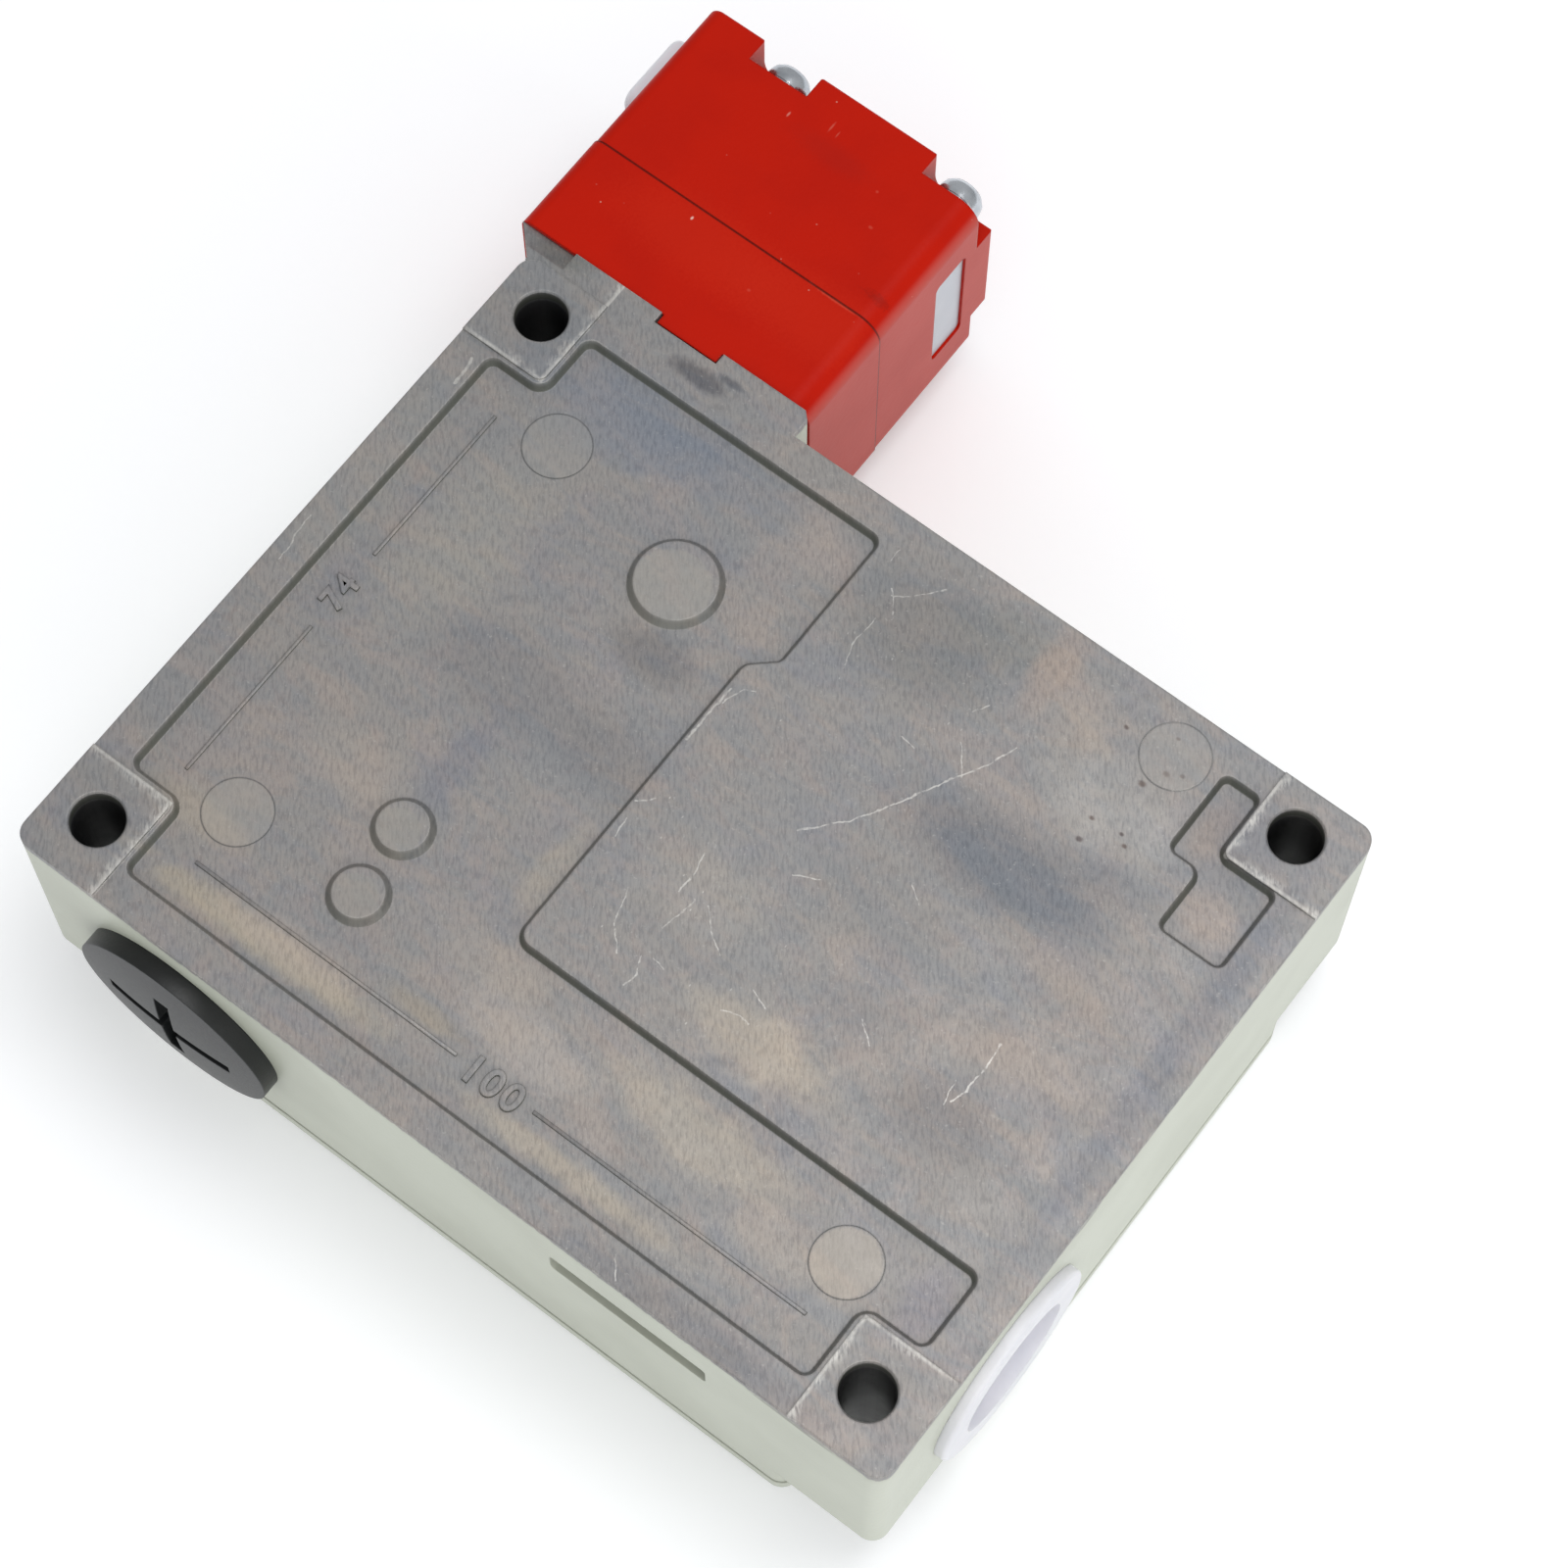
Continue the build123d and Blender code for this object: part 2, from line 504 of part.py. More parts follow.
def conduit_plug():
    """Screw plug with a slightly domed face and a cross slot."""
    face = HOUSING_BOTTOM - PLUG_FLANGE_T
    r = PLUG_FLANGE_D / 2
    crown = ThreePointArc((r, face), (r * 0.55, face - PLUG_DOME * 0.72), (0, face - PLUG_DOME))
    inner = face + PLUG_FACE_T - PLUG_DOME
    tip = HOUSING_BOTTOM + PLUG_SHANK_L
    shank, bore, seal = ENTRY_D / 2, PLUG_BORE_D / 2, PLUG_SEAL_OD / 2
    rest = Polyline((0, face - PLUG_DOME), (0, inner), (bore, inner), (bore, tip), (shank, tip),
                    (shank, HOUSING_BOTTOM - PLUG_SEAL_T), (seal, HOUSING_BOTTOM - PLUG_SEAL_T),
                    (seal, HOUSING_BOTTOM), (r, HOUSING_BOTTOM), (r, face))
    profile = make_face([crown, *rest.edges()])
    plug = Pos(PLUG_X, 0, PLUG_Z) * revolve(profile, Axis.Y, 360)
    depth = face - PLUG_DOME + CROSS_DEPTH
    for wide, high in ((CROSS_L, CROSS_W), (CROSS_W, CROSS_SHORT_L)):
        plug -= block(PLUG_X - wide / 2, face - 3, PLUG_Z - high / 2, PLUG_X + wide / 2, depth,
                      PLUG_Z + high / 2)
    return plug


def plug_seal():
    """Flat ring held in the flange of the plug."""
    ring = rod_y(PLUG_X, PLUG_Z, HOUSING_BOTTOM - PLUG_SEAL_T, HOUSING_BOTTOM, PLUG_SEAL_OD)
    return ring - rod_y(PLUG_X, PLUG_Z, HOUSING_BOTTOM - 2, HOUSING_BOTTOM + 1, ENTRY_D)


def conduit_cap():
    """Dished cap of the unused entry."""
    rim = HOUSING_RIGHT + CAP_FLANGE_T
    cap = rod_x(CAP_Y, CAP_Z, HOUSING_RIGHT, rim, CAP_FLANGE_D)
    cap = fillet(cap.edges().sort_by(Axis.X)[-1], 0.5)
    cap += rod_x(CAP_Y, CAP_Z, HOUSING_RIGHT - CAP_SHANK_L, HOUSING_RIGHT, ENTRY_D)
    cap -= rod_x(CAP_Y, CAP_Z, rim - CAP_DISH_DEPTH, rim + 1, CAP_DISH_D)
    return cap


def head_outline(y0, y1, shrink=0.0):
    """The head's section between two heights, its long edges rounded."""
    left, right = HEAD_LEFT + shrink, HEAD_RIGHT - shrink
    back, front = HEAD_BACK_Z, HEAD_FRONT_Z
    shape = block(left, y0, front, right, y1, back)
    edges = shape.edges().filter_by(Axis.Y)
    shape = fillet(edges.filter_by(lambda e: e.center().X > HEAD_AXIS_X), HEAD_RIGHT_R)
    edges = shape.edges().filter_by(Axis.Y)
    return fillet(edges.filter_by(lambda e: e.center().X < left + 0.1), HEAD_LEFT_R)


def cam_cavity():
    """The room round the cam."""
    half = CAM_H / 2 + CAM_SIDE_GAP
    return rod_z(HEAD_AXIS_X, CAM_Y, HEAD_AXIS_Z - half, HEAD_AXIS_Z + half, 2 * CAVITY_R)


def pin_slots():
    """Slots in both cheeks of the cap that take the cam's pin from the seam side."""
    half = CAM_PIN_L / 2
    slot = rod_z(HEAD_AXIS_X, CAM_Y, HEAD_AXIS_Z - half, HEAD_AXIS_Z + half, CAM_PIN_D)
    return slot + block(HEAD_AXIS_X - CAM_PIN_D / 2, HEAD_SEAM_Y - 1, HEAD_AXIS_Z - half,
                        HEAD_AXIS_X + CAM_PIN_D / 2, CAM_Y, HEAD_AXIS_Z + half)


def head_base():
    """Lower part of the head: tab, plunger bore and the tongues that hold the cam's pin."""
    base = head_outline(NECK_TOP, HEAD_SEAM_Y)
    base += block(TAB_X0, TAB_Y0, HEAD_BACK_Z - TAB_T, TAB_X1, NECK_TOP + 1, HEAD_BACK_Z)
    half = CAM_PIN_L / 2
    base += block(HEAD_AXIS_X - CAM_PIN_D / 2, HEAD_SEAM_Y - 1, HEAD_AXIS_Z - half,
                  HEAD_AXIS_X + CAM_PIN_D / 2, PIN_SUPPORT_Y, HEAD_AXIS_Z + half)
    base -= cam_cavity()
    base -= rod_y(HEAD_AXIS_X, HEAD_AXIS_Z, NECK_TOP - 1, CAM_Y, PLUNGER_D + 2 * RUNNING)
    base -= rod_y(HEAD_AXIS_X, HEAD_AXIS_Z, NECK_TOP - 1, NECK_TOP + HEAD_SEAL_T, HEAD_SEAL_OD) - rod_y(
        HEAD_AXIS_X, HEAD_AXIS_Z, NECK_TOP - 2, NECK_TOP + HEAD_SEAL_T + 1, HEAD_SEAL_ID)
    for x, z in head_screw_axes():
        base -= rod_y(x, z, NECK_TOP - 1, HEAD_SEAM_Y + 1, HEAD_SCREW_D + 0.4)
    return base


def head_seal():
    """Square-section ring in the groove under the head."""
    ring = rod_y(HEAD_AXIS_X, HEAD_AXIS_Z, NECK_TOP, NECK_TOP + HEAD_SEAL_T, HEAD_SEAL_OD)
    return ring - rod_y(HEAD_AXIS_X, HEAD_AXIS_Z, NECK_TOP - 1, NECK_TOP + 3, HEAD_SEAL_ID)


def notch_tools():
    """Room round the four screw heads, open to the back or front and, on the right, sideways."""
    tools = []
    for x, z in head_screw_axes():
        spare = 6.0
        away = spare if z > HEAD_AXIS_Z else -spare
        tool = rod_y(x, z, NOTCH_FLOOR_Y, HEAD_END_Y + 1, 2 * HEAD_NOTCH_R)
        tool += block(x - HEAD_NOTCH_R, NOTCH_FLOOR_Y, z, x + HEAD_NOTCH_R, HEAD_END_Y + 1,
                      z + away)
        if x > HEAD_AXIS_X:
            tool += block(x, NOTCH_FLOOR_Y, z - HEAD_NOTCH_R, x + spare, HEAD_END_Y + 1,
                          z + HEAD_NOTCH_R)
            tool += block(x, NOTCH_FLOOR_Y, z, x + spare, HEAD_END_Y + 1, z + away)
        tools.append(tool)
    return tools


def head_cap():
    """Upper part of the head: notched end, both key slots and the cheeks of the cam."""
    cap = head_outline(HEAD_SEAM_Y, HEAD_END_Y, CAP_STEP)
    for tool in notch_tools():
        cap -= tool
    end = cap.faces().filter_by(Axis.Y).sort_by(Axis.Y)[-1]
    cap = fillet(end.outer_wire().edges(), HEAD_END_R * 0.6)
    cap -= cam_cavity()
    cap -= pin_slots()
    cap -= rounded_x_box(SLOT_Y0, SLOT_Z0, SLOT_Y1, SLOT_Z1, HEAD_LEFT - 1, HEAD_RIGHT + 1,
                         SLOT_CORNER_R)
    for x, z in head_screw_axes():
        cap -= rod_y(x, z, HEAD_SEAM_Y - 1, HEAD_END_Y + 1, HEAD_SCREW_D + 0.4)
    return cap


def head_screws():
    """Pan heads with a cross recess and plain shanks into the neck."""
    screws = []
    seat = NOTCH_FLOOR_Y + WASHER_T
    for x, z in head_screw_axes():
        head = rod_y(x, z, seat, seat + HEAD_SCREW_HEAD_H, HEAD_SCREW_HEAD_D)
        head = fillet(head.edges().sort_by(Axis.Y)[-1], 1.1)
        for size in ((3.0, 0.8), (0.8, 3.0)):
            head -= Pos(x, seat + HEAD_SCREW_HEAD_H, z) * Box(size[0], 2.2, size[1])
        screws.append(head + rod_y(x, z, HEAD_SCREW_TIP_Y, seat, HEAD_SCREW_D))
    return group(screws)


def head_washers():
    """Split spring washers under the heads."""
    washers = []
    for x, z in head_screw_axes():
        ring = rod_y(x, z, NOTCH_FLOOR_Y, NOTCH_FLOOR_Y + WASHER_T, WASHER_D)
        ring -= rod_y(x, z, NOTCH_FLOOR_Y - 1, NOTCH_FLOOR_Y + 2, HEAD_SCREW_D)
        ring -= block(x, NOTCH_FLOOR_Y - 1, z - 0.25, x + WASHER_D, NOTCH_FLOOR_Y + 2, z + 0.25)
        washers.append(ring)
    return group(washers)


def slot_plug():
    """Plug of the left key slot, with a flange that stands on the wall."""
    y0, z0, y1, z1 = SLOT_PLUG_FLANGE
    wall = HEAD_LEFT + CAP_STEP
    flange = rounded_x_box(y0, z0, y1, z1, wall - SLOT_PLUG_FLANGE_T, wall, 1.8)
    flange = fillet(flange.faces().sort_by(Axis.X)[0].edges(), 0.8)
    spigot = rounded_x_box(SLOT_Y0, SLOT_Z0, SLOT_Y1, SLOT_Z1, wall, wall + SLOT_PLUG_L,
                           SLOT_CORNER_R)
    return flange + spigot


def slot_insert():
    """Plain plug of the right key slot, set a little below the wall."""
    face = HEAD_RIGHT - CAP_STEP - INSERT_SINK
    return rounded_x_box(SLOT_Y0, SLOT_Z0, SLOT_Y1, SLOT_Z1, face - INSERT_L, face,
                         SLOT_CORNER_R)


def cam_profile():
    """Cam outline: full radius, a spiral that falls by the plunger's stroke, then a step up."""
    points = []
    stops = 24
    start, end = -90.0, -90.0 - CAM_TURN
    for i in range(stops + 1):
        angle = start + (end - start) * i / stops
        radius = CAM_R - CAM_DROP * i / stops
        points.append((radius, angle))
    low_end = end - CAM_DWELL
    spiral = Spline(*[polar(r, a) for r, a in points])
    low = ThreePointArc(polar(CAM_R - CAM_DROP, end),
                        polar(CAM_R - CAM_DROP, end - CAM_DWELL / 2),
                        polar(CAM_R - CAM_DROP, low_end))
    step = Line(polar(CAM_R - CAM_DROP, low_end), polar(CAM_R, low_end - CAM_STEP))
    first = low_end - CAM_STEP + 360
    middle = (first + start) / 2
    high = ThreePointArc(polar(CAM_R, first), polar(CAM_R, middle), polar(CAM_R, start))
    return make_face([spiral, low, step, high])


def polar(radius, angle):
    """Point at a radius and an angle in degrees."""
    turn = math.radians(angle)
    return (radius * math.cos(turn), radius * math.sin(turn))


def operating_cam():
    """Drum with the falling sector for the plunger and the notch for the key."""
    drum = extrude(cam_profile(), amount=CAM_H)
    half = KEY_NOTCH_W / 2
    notch = block(CAM_R - KEY_NOTCH_DEPTH, -half, -1, CAM_R + KEY_NOTCH_DEPTH, half, CAM_H + 1)
    drum -= Rot(0, 0, KEY_NOTCH_ANGLE) * notch
    drum -= rod_z(0, 0, -1, CAM_H + 1, CAM_PIN_D + 2 * RUNNING)
    return Pos(HEAD_AXIS_X, CAM_Y, HEAD_AXIS_Z - CAM_H / 2) * drum


def cam_pin():
    """Axle of the cam."""
    half = CAM_PIN_L / 2
    return rod_z(HEAD_AXIS_X, CAM_Y, HEAD_AXIS_Z - half, HEAD_AXIS_Z + half, CAM_PIN_D)


def head_plunger():
    """Rod with a domed tip, a collar for its spring and a thin collar for the lock."""
    tip = CAM_Y - CAM_R - CAM_GAP
    x, z = HEAD_AXIS_X, HEAD_AXIS_Z
    rod = rod_y(x, z, PLUNGER_END_Y, tip - TIP_R, PLUNGER_D)
    rod += Pos(x, tip - TIP_R, z) * Sphere(TIP_R)
    rod += rod_y(x, z, SPRING_COLLAR_Y, SPRING_COLLAR_Y + SPRING_COLLAR_T, SPRING_COLLAR_D)
    rod += rod_y(x, z, LOCK_COLLAR_Y, LOCK_COLLAR_Y + LOCK_COLLAR_T, LOCK_COLLAR_D)
    return rod


def coil_spring(od, wire, length, pitch_turns):
    """Helical spring along Z, standing on the origin, its wire inside the given length."""
    rise = length - wire
    path = Pos(0, 0, wire / 2) * Helix(rise / pitch_turns, rise, (od - wire) / 2)
    start = path @ 0
    section = Plane(origin=start, z_dir=path % 0) * Circle(wire / 2)
    return sweep(section, path=path)


def plunger_spring():
    """Spring between the shelf in the guide and the plunger's upper collar."""
    length = SPRING_COLLAR_Y - SPRING_SHELF_Y
    spring = coil_spring(SPRING_OD, SPRING_WIRE, length, 4)
    return Pos(HEAD_AXIS_X, SPRING_SHELF_Y, HEAD_AXIS_Z) * Rot(-90, 0, 0) * spring


def block_screw_axes():
    """Positions of the two screws of the contact block."""
    return [(HEAD_AXIS_X + side * BLOCK_SCREW_SIDE, BLOCK_SCREW_Y) for side in (-1, 1)]


def contact_slider():
    """Slider under the plunger, with a window for each bridge."""
    x, z, half = HEAD_AXIS_X, HEAD_AXIS_Z, SLIDER_W / 2
    slider = block(x - half, SLIDER_Y0, z - half, x + half, SLIDER_Y1, z + half)
    slider += rod_y(x, z, SLIDER_Y1 - 0.5, PLUNGER_END_Y, 5.0)
    for y in BRIDGE_Y:
        slider -= block(x - half - 1, y, z - BRIDGE_H / 2, x + half + 1, y + BRIDGE_T,
                        z + BRIDGE_H / 2)
    return slider


def moving_contacts():
    """Two bridges that go through the slider."""
    x, z, half = HEAD_AXIS_X, HEAD_AXIS_Z, BRIDGE_L / 2
    return group([block(x - half, y, z - BRIDGE_H / 2, x + half, y + BRIDGE_T, z + BRIDGE_H / 2)
                  for y in BRIDGE_Y])


def contact_places():
    """Height and side of each fixed contact: closed by the bridges with the key in."""
    return [(y + BRIDGE_T + CAM_DROP + CONTACT_GAP, side) for y in BRIDGE_Y for side in (-1, 1)]


def contact_strip(y, side):
    """One angled strip: flat on its ledge outside, upright beside the slider inside."""
    outer = (BLOCK_X0 if side < 0 else BLOCK_X1) - side * 0.6
    inner = HEAD_AXIS_X + side * (SLIDER_W / 2 + 1.4)
    bend = HEAD_AXIS_X + side * (CHAMBER_W / 2 - 1.2)
    strip = block(outer, y, TERMINAL_LEDGE_Z - STRIP_T, bend, y + STRIP_W, TERMINAL_LEDGE_Z)
    strip += block(bend + side * STRIP_T, y, HEAD_AXIS_Z - BRIDGE_H / 2, inner, y + STRIP_T,
                   HEAD_AXIS_Z + BRIDGE_H / 2)
    return strip


def contact_screw_axis(y, side):
    """Position of a contact strip's screw."""
    edge = BLOCK_X0 if side < 0 else BLOCK_X1
    return (edge - side * 3.2, y + STRIP_W / 2)


def fixed_contacts():
    """Angled strips from the chamber to the terminal ledges."""
    strips = []
    for y, side in contact_places():
        x, mid = contact_screw_axis(y, side)
        strips.append(contact_strip(y, side)
                      - rod_z(x, mid, BLOCK_Z0, TERMINAL_LEDGE_Z + 1, BLOCK_SCREW_D))
    return group(strips)


def switch_block():
    """Moulded block with the slider's channel, the contact chamber and open terminal ledges."""
    x, z = HEAD_AXIS_X, HEAD_AXIS_Z
    body = block(BLOCK_X0, BLOCK_Y0, BLOCK_Z0, BLOCK_X1, BLOCK_Y1, BLOCK_Z1)
    body -= block(x - CHANNEL_W / 2, CHANNEL_END_Y, z - CHANNEL_H / 2, x + CHANNEL_W / 2,
                  BLOCK_Y1 + 1, z + CHANNEL_H / 2)
    body -= block(x - CHAMBER_W / 2, CHAMBER_Y0, z - CHANNEL_H / 2, x + CHAMBER_W / 2,
                  CHAMBER_Y1, z + CHANNEL_H / 2)
    for y, side in contact_places():
        edge = BLOCK_X0 if side < 0 else BLOCK_X1
        inner = edge - side * TERMINAL_RECESS_W
        body -= block(edge + side, y - 0.6, BLOCK_Z0 - 1, inner, y + STRIP_W + 0.6,
                      TERMINAL_LEDGE_Z)
        sx, sy = contact_screw_axis(y, side)
        body -= rod_z(sx, sy, BLOCK_Z1 - 2, TERMINAL_LEDGE_Z - 1, BLOCK_SCREW_D)
        body -= contact_strip(y, side)
    for sx, sy in block_screw_axes():
        body -= rod_z(sx, sy, BLOCK_Z0 - 1, BLOCK_Z1 + 1, BLOCK_SCREW_D)
    return body


def slotted_screw(x, y, seat, tip, head_d, head_h, shank_d):
    """Slotted screw that points up from its seat to its tip."""
    screw = rod_z(x, y, seat - head_h, seat, head_d) + rod_z(x, y, seat, tip, shank_d)
    return screw - Pos(x, y, seat - head_h) * Box(head_d + 1, 0.8, head_h * 0.8)


def contact_screws():
    """Screws of the four contact strips."""
    seat = TERMINAL_LEDGE_Z - STRIP_T
    axes = [contact_screw_axis(y, side) for y, side in contact_places()]
    return group([slotted_screw(x, y, seat, BLOCK_Z1 - 2, 4.6, 2.0, BLOCK_SCREW_D)
                  for x, y in axes])


def block_screws():
    """Screws of the contact block, into posts on the floor."""
    return group([slotted_screw(x, y, BLOCK_Z0, FLOOR_Z - 0.4, SMALL_HEAD_D, SMALL_HEAD_H,
                                BLOCK_SCREW_D) for x, y in block_screw_axes()])


def solenoid_frame():
    """U-shaped yoke on the floor, its legs pierced for the core and the pole."""
    y0, y1 = COIL_Y - YOKE_W / 2, COIL_Y + YOKE_W / 2
    yoke = block(YOKE_X0, y0, FLOOR_Z - YOKE_T, YOKE_X1, y1, FLOOR_Z)
    yoke += block(YOKE_X0, y0, YOKE_FRONT_Z, YOKE_X0 + YOKE_T, y1, FLOOR_Z)
    yoke += block(YOKE_X1 - YOKE_T, y0, YOKE_FRONT_Z, YOKE_X1, y1, FLOOR_Z)
    for x, y in YOKE_SCREWS:
        yoke += block(x - YOKE_LUG_W / 2, y - YOKE_LUG_W / 2, FLOOR_Z - YOKE_T,
                      x + YOKE_LUG_W / 2, y0 + 1, FLOOR_Z)
        yoke -= rod_z(x, y, FLOOR_Z - YOKE_T - 1, FLOOR_Z + 1, SMALL_SCREW_D)
    return yoke - rod_x(COIL_Y, COIL_Z, YOKE_X0 - 1, YOKE_X0 + YOKE_T + 1, CORE_BORE_D)


def yoke_screws():
    """Screws through the yoke's lugs into the floor."""
    return group([slotted_screw(x, y, FLOOR_Z - YOKE_T, YOKE_SCREW_TIP_Z, SMALL_HEAD_D,
                                SMALL_HEAD_H, SMALL_SCREW_D) for x, y in YOKE_SCREWS])


def solenoid_bobbin():
    """Former of the winding, between both legs."""
    x0, x1 = YOKE_X0 + YOKE_T, YOKE_X1 - YOKE_T
    bobbin = rod_x(COIL_Y, COIL_Z, x0, x1, BOBBIN_TUBE_D)
    bobbin += rod_x(COIL_Y, COIL_Z, x0, x0 + BOBBIN_FLANGE_T, BOBBIN_FLANGE_D)
    bobbin += rod_x(COIL_Y, COIL_Z, x1 - BOBBIN_FLANGE_T, x1, BOBBIN_FLANGE_D)
    return bobbin - rod_x(COIL_Y, COIL_Z, x0 - 1, x1 + 1, CORE_BORE_D)


def solenoid_coil():
    """The winding."""
    x0, x1 = YOKE_X0 + YOKE_T + BOBBIN_FLANGE_T, YOKE_X1 - YOKE_T - BOBBIN_FLANGE_T
    return rod_x(COIL_Y, COIL_Z, x0, x1, COIL_D) - rod_x(COIL_Y, COIL_Z, x0 - 1, x1 + 1,
                                                         BOBBIN_TUBE_D)


def pole_piece():
    """Fixed iron behind the core, filling the end of the former."""
    x1 = YOKE_X1 - YOKE_T
    return rod_x(COIL_Y, COIL_Z, x1 - POLE_L, x1, CORE_BORE_D)


def solenoid_core():
    """Moving core with a collar for its spring and a saw cut for the plate's stem."""
    core = rod_x(COIL_Y, COIL_Z, CORE_X0, CORE_X1, CORE_D)
    core += rod_x(COIL_Y, COIL_Z, CORE_X0, CORE_X0 + CORE_COLLAR_T, CORE_COLLAR_D)
    half = PLATE_STEM_W / 2
    return core - block(CORE_X0 - 1, COIL_Y - PLATE_T / 2, COIL_Z - half, PLATE_STEM_X1,
                        COIL_Y + PLATE_T / 2, COIL_Z + half)


def core_spring():
    """Spring between the yoke's left leg and the core's collar."""
    start = CORE_X0 + CORE_COLLAR_T
    spring = coil_spring(CORE_SPRING_D, CORE_SPRING_WIRE, YOKE_X0 - start, 5)
    return Pos(start, COIL_Y, COIL_Z) * Rot(0, 90, 0) * spring


def lock_plate():
    """Flat plate on the core: its hole clears the plunger's collar, its slot catches it."""
    y0, y1 = COIL_Y - PLATE_T / 2, COIL_Y + PLATE_T / 2
    x, z = HEAD_AXIS_X, HEAD_AXIS_Z
    lock = rounded_y_box(PLATE_X0, z - PLATE_W / 2, PLATE_X1, z + PLATE_W / 2, y0, y1, 2.0)
    lock += block(PLATE_X1 - 1, y0, COIL_Z - PLATE_STEM_W / 2, PLATE_STEM_X1, y1,
                  COIL_Z + PLATE_STEM_W / 2)
    lock -= rod_y(x, z, y0 - 1, y1 + 1, KEYHOLE_D)
    lock -= rod_y(x - LOCK_STROKE, z, y0 - 1, y1 + 1, KEYHOLE_SLOT_W)
    return lock - block(x - LOCK_STROKE, y0 - 1, z - KEYHOLE_SLOT_W / 2, x, y1 + 1,
                        z + KEYHOLE_SLOT_W / 2)


def terminal_row():
    """Centres of the six terminals."""
    middle = (TERM_X0 + TERM_X1) / 2
    first = middle - TERM_PITCH * (TERM_COUNT - 1) / 2
    return [(first + i * TERM_PITCH, (TERM_Y0 + TERM_Y1) / 2) for i in range(TERM_COUNT)]


def terminal_lugs():
    """Positions of the two screws at the ends of the terminal row."""
    middle = (TERM_Y0 + TERM_Y1) / 2
    return ((TERM_X0 - TERM_LUG_L / 2, middle), (TERM_X1 + TERM_LUG_L / 2, middle))


def terminal_block():
    """Moulded row with a walled bay for each terminal and a lug at each end."""
    body = block(TERM_X0, TERM_Y0, TERM_Z, TERM_X1, TERM_Y1, FLOOR_Z)
    middle = (TERM_Y0 + TERM_Y1) / 2
    body += block(TERM_X0 - TERM_LUG_L, middle - TERM_LUG_W / 2, TERM_LUG_Z - TERM_LUG_T,
                  TERM_X1 + TERM_LUG_L, middle + TERM_LUG_W / 2, TERM_LUG_Z)
    for x, y in terminal_row():
        body -= block(x - CLAMP_W / 2, TERM_Y0 - 1, TERM_Z - 1, x + CLAMP_W / 2, TERM_Y1 + 1,
                      TERM_Z + TERM_BAY)
        body -= rod_z(x, y, TERM_Z, FLOOR_Z - 3.0, TERM_SCREW_D)
    for x, y in terminal_lugs():
        body -= rod_z(x, y, TERM_LUG_Z - TERM_LUG_T - 1, TERM_LUG_Z + 1, SMALL_SCREW_D)
    return body


def row_screws():
    """Screws through the lugs of the terminal row into posts on the floor."""
    return group([slotted_screw(x, y, TERM_LUG_Z - TERM_LUG_T, FLOOR_Z - 0.4, SMALL_HEAD_D,
                                SMALL_HEAD_H, SMALL_SCREW_D) for x, y in terminal_lugs()])


def terminal_clamps():
    """Plates under the terminal screws."""
    seat = TERM_Z + TERM_BAY
    plates = []
    for x, y in terminal_row():
        clamp = block(x - CLAMP_W / 2, TERM_Y0 + 0.8, seat - CLAMP_T, x + CLAMP_W / 2,
                      TERM_Y1 - 0.8, seat)
        plates.append(clamp - rod_z(x, y, seat - 2, seat + 1, TERM_SCREW_D))
    return group(plates)


def terminal_screws():
    """Slotted terminal screws."""
    seat = TERM_Z + TERM_BAY - CLAMP_T
    screws = []
    for x, y in terminal_row():
        head = rod_z(x, y, seat - 2.4, seat, TERM_HEAD_D)
        head += rod_z(x, y, seat, FLOOR_Z - 4.0, TERM_SCREW_D)
        screws.append(head - Pos(x, y, seat - 2.4) * Box(TERM_HEAD_D + 1, 0.9, 2.0))
    return group(screws)


def ground_screw():
    """Earth screw with its washer on a boss of the floor."""
    seat = EARTH_BOSS_Z - 0.8
    screw = rod_z(EARTH_X, EARTH_Y, seat, EARTH_BOSS_Z, EARTH_WASHER_D)
    screw += rod_z(EARTH_X, EARTH_Y, seat - EARTH_HEAD_H, seat, EARTH_HEAD_D)
    screw += rod_z(EARTH_X, EARTH_Y, EARTH_BOSS_Z, FLOOR_Z - 0.5, EARTH_D)
    return screw - Pos(EARTH_X, EARTH_Y, seat - EARTH_HEAD_H) * Box(EARTH_HEAD_D + 1, 1.0, 2.0)


NODES = (
    rear_housing, cover_gasket, front_cover, cover_screws, conduit_plug, plug_seal, conduit_cap,
    head_base, head_cap, head_seal, head_screws, head_washers, slot_plug, slot_insert,
    operating_cam, cam_pin, head_plunger, plunger_spring, contact_slider, moving_contacts,
    switch_block, fixed_contacts, contact_screws, block_screws, solenoid_frame, solenoid_bobbin,
    solenoid_coil, pole_piece, yoke_screws, solenoid_core, core_spring, lock_plate,
    terminal_block, terminal_clamps, terminal_screws, row_screws, ground_screw,
)

if __name__ == "__main__":
    os.makedirs("parts", exist_ok=True)
    for node in NODES:
        save(node.__name__, node())
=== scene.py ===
"""Safety door switch: finishes, cast marks, screws, floor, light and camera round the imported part.

The part keeps its own frame: the origin is the centre of the four mounting holes on the mounting
face, +Z points out of that face and +Y towards the red head. Sizes here are in millimetres.
"""
from __future__ import annotations

import json
import logging
import math
from dataclasses import dataclass, field
from enum import Enum
from functools import reduce

import bmesh
import bpy
from mathutils import Matrix, Vector

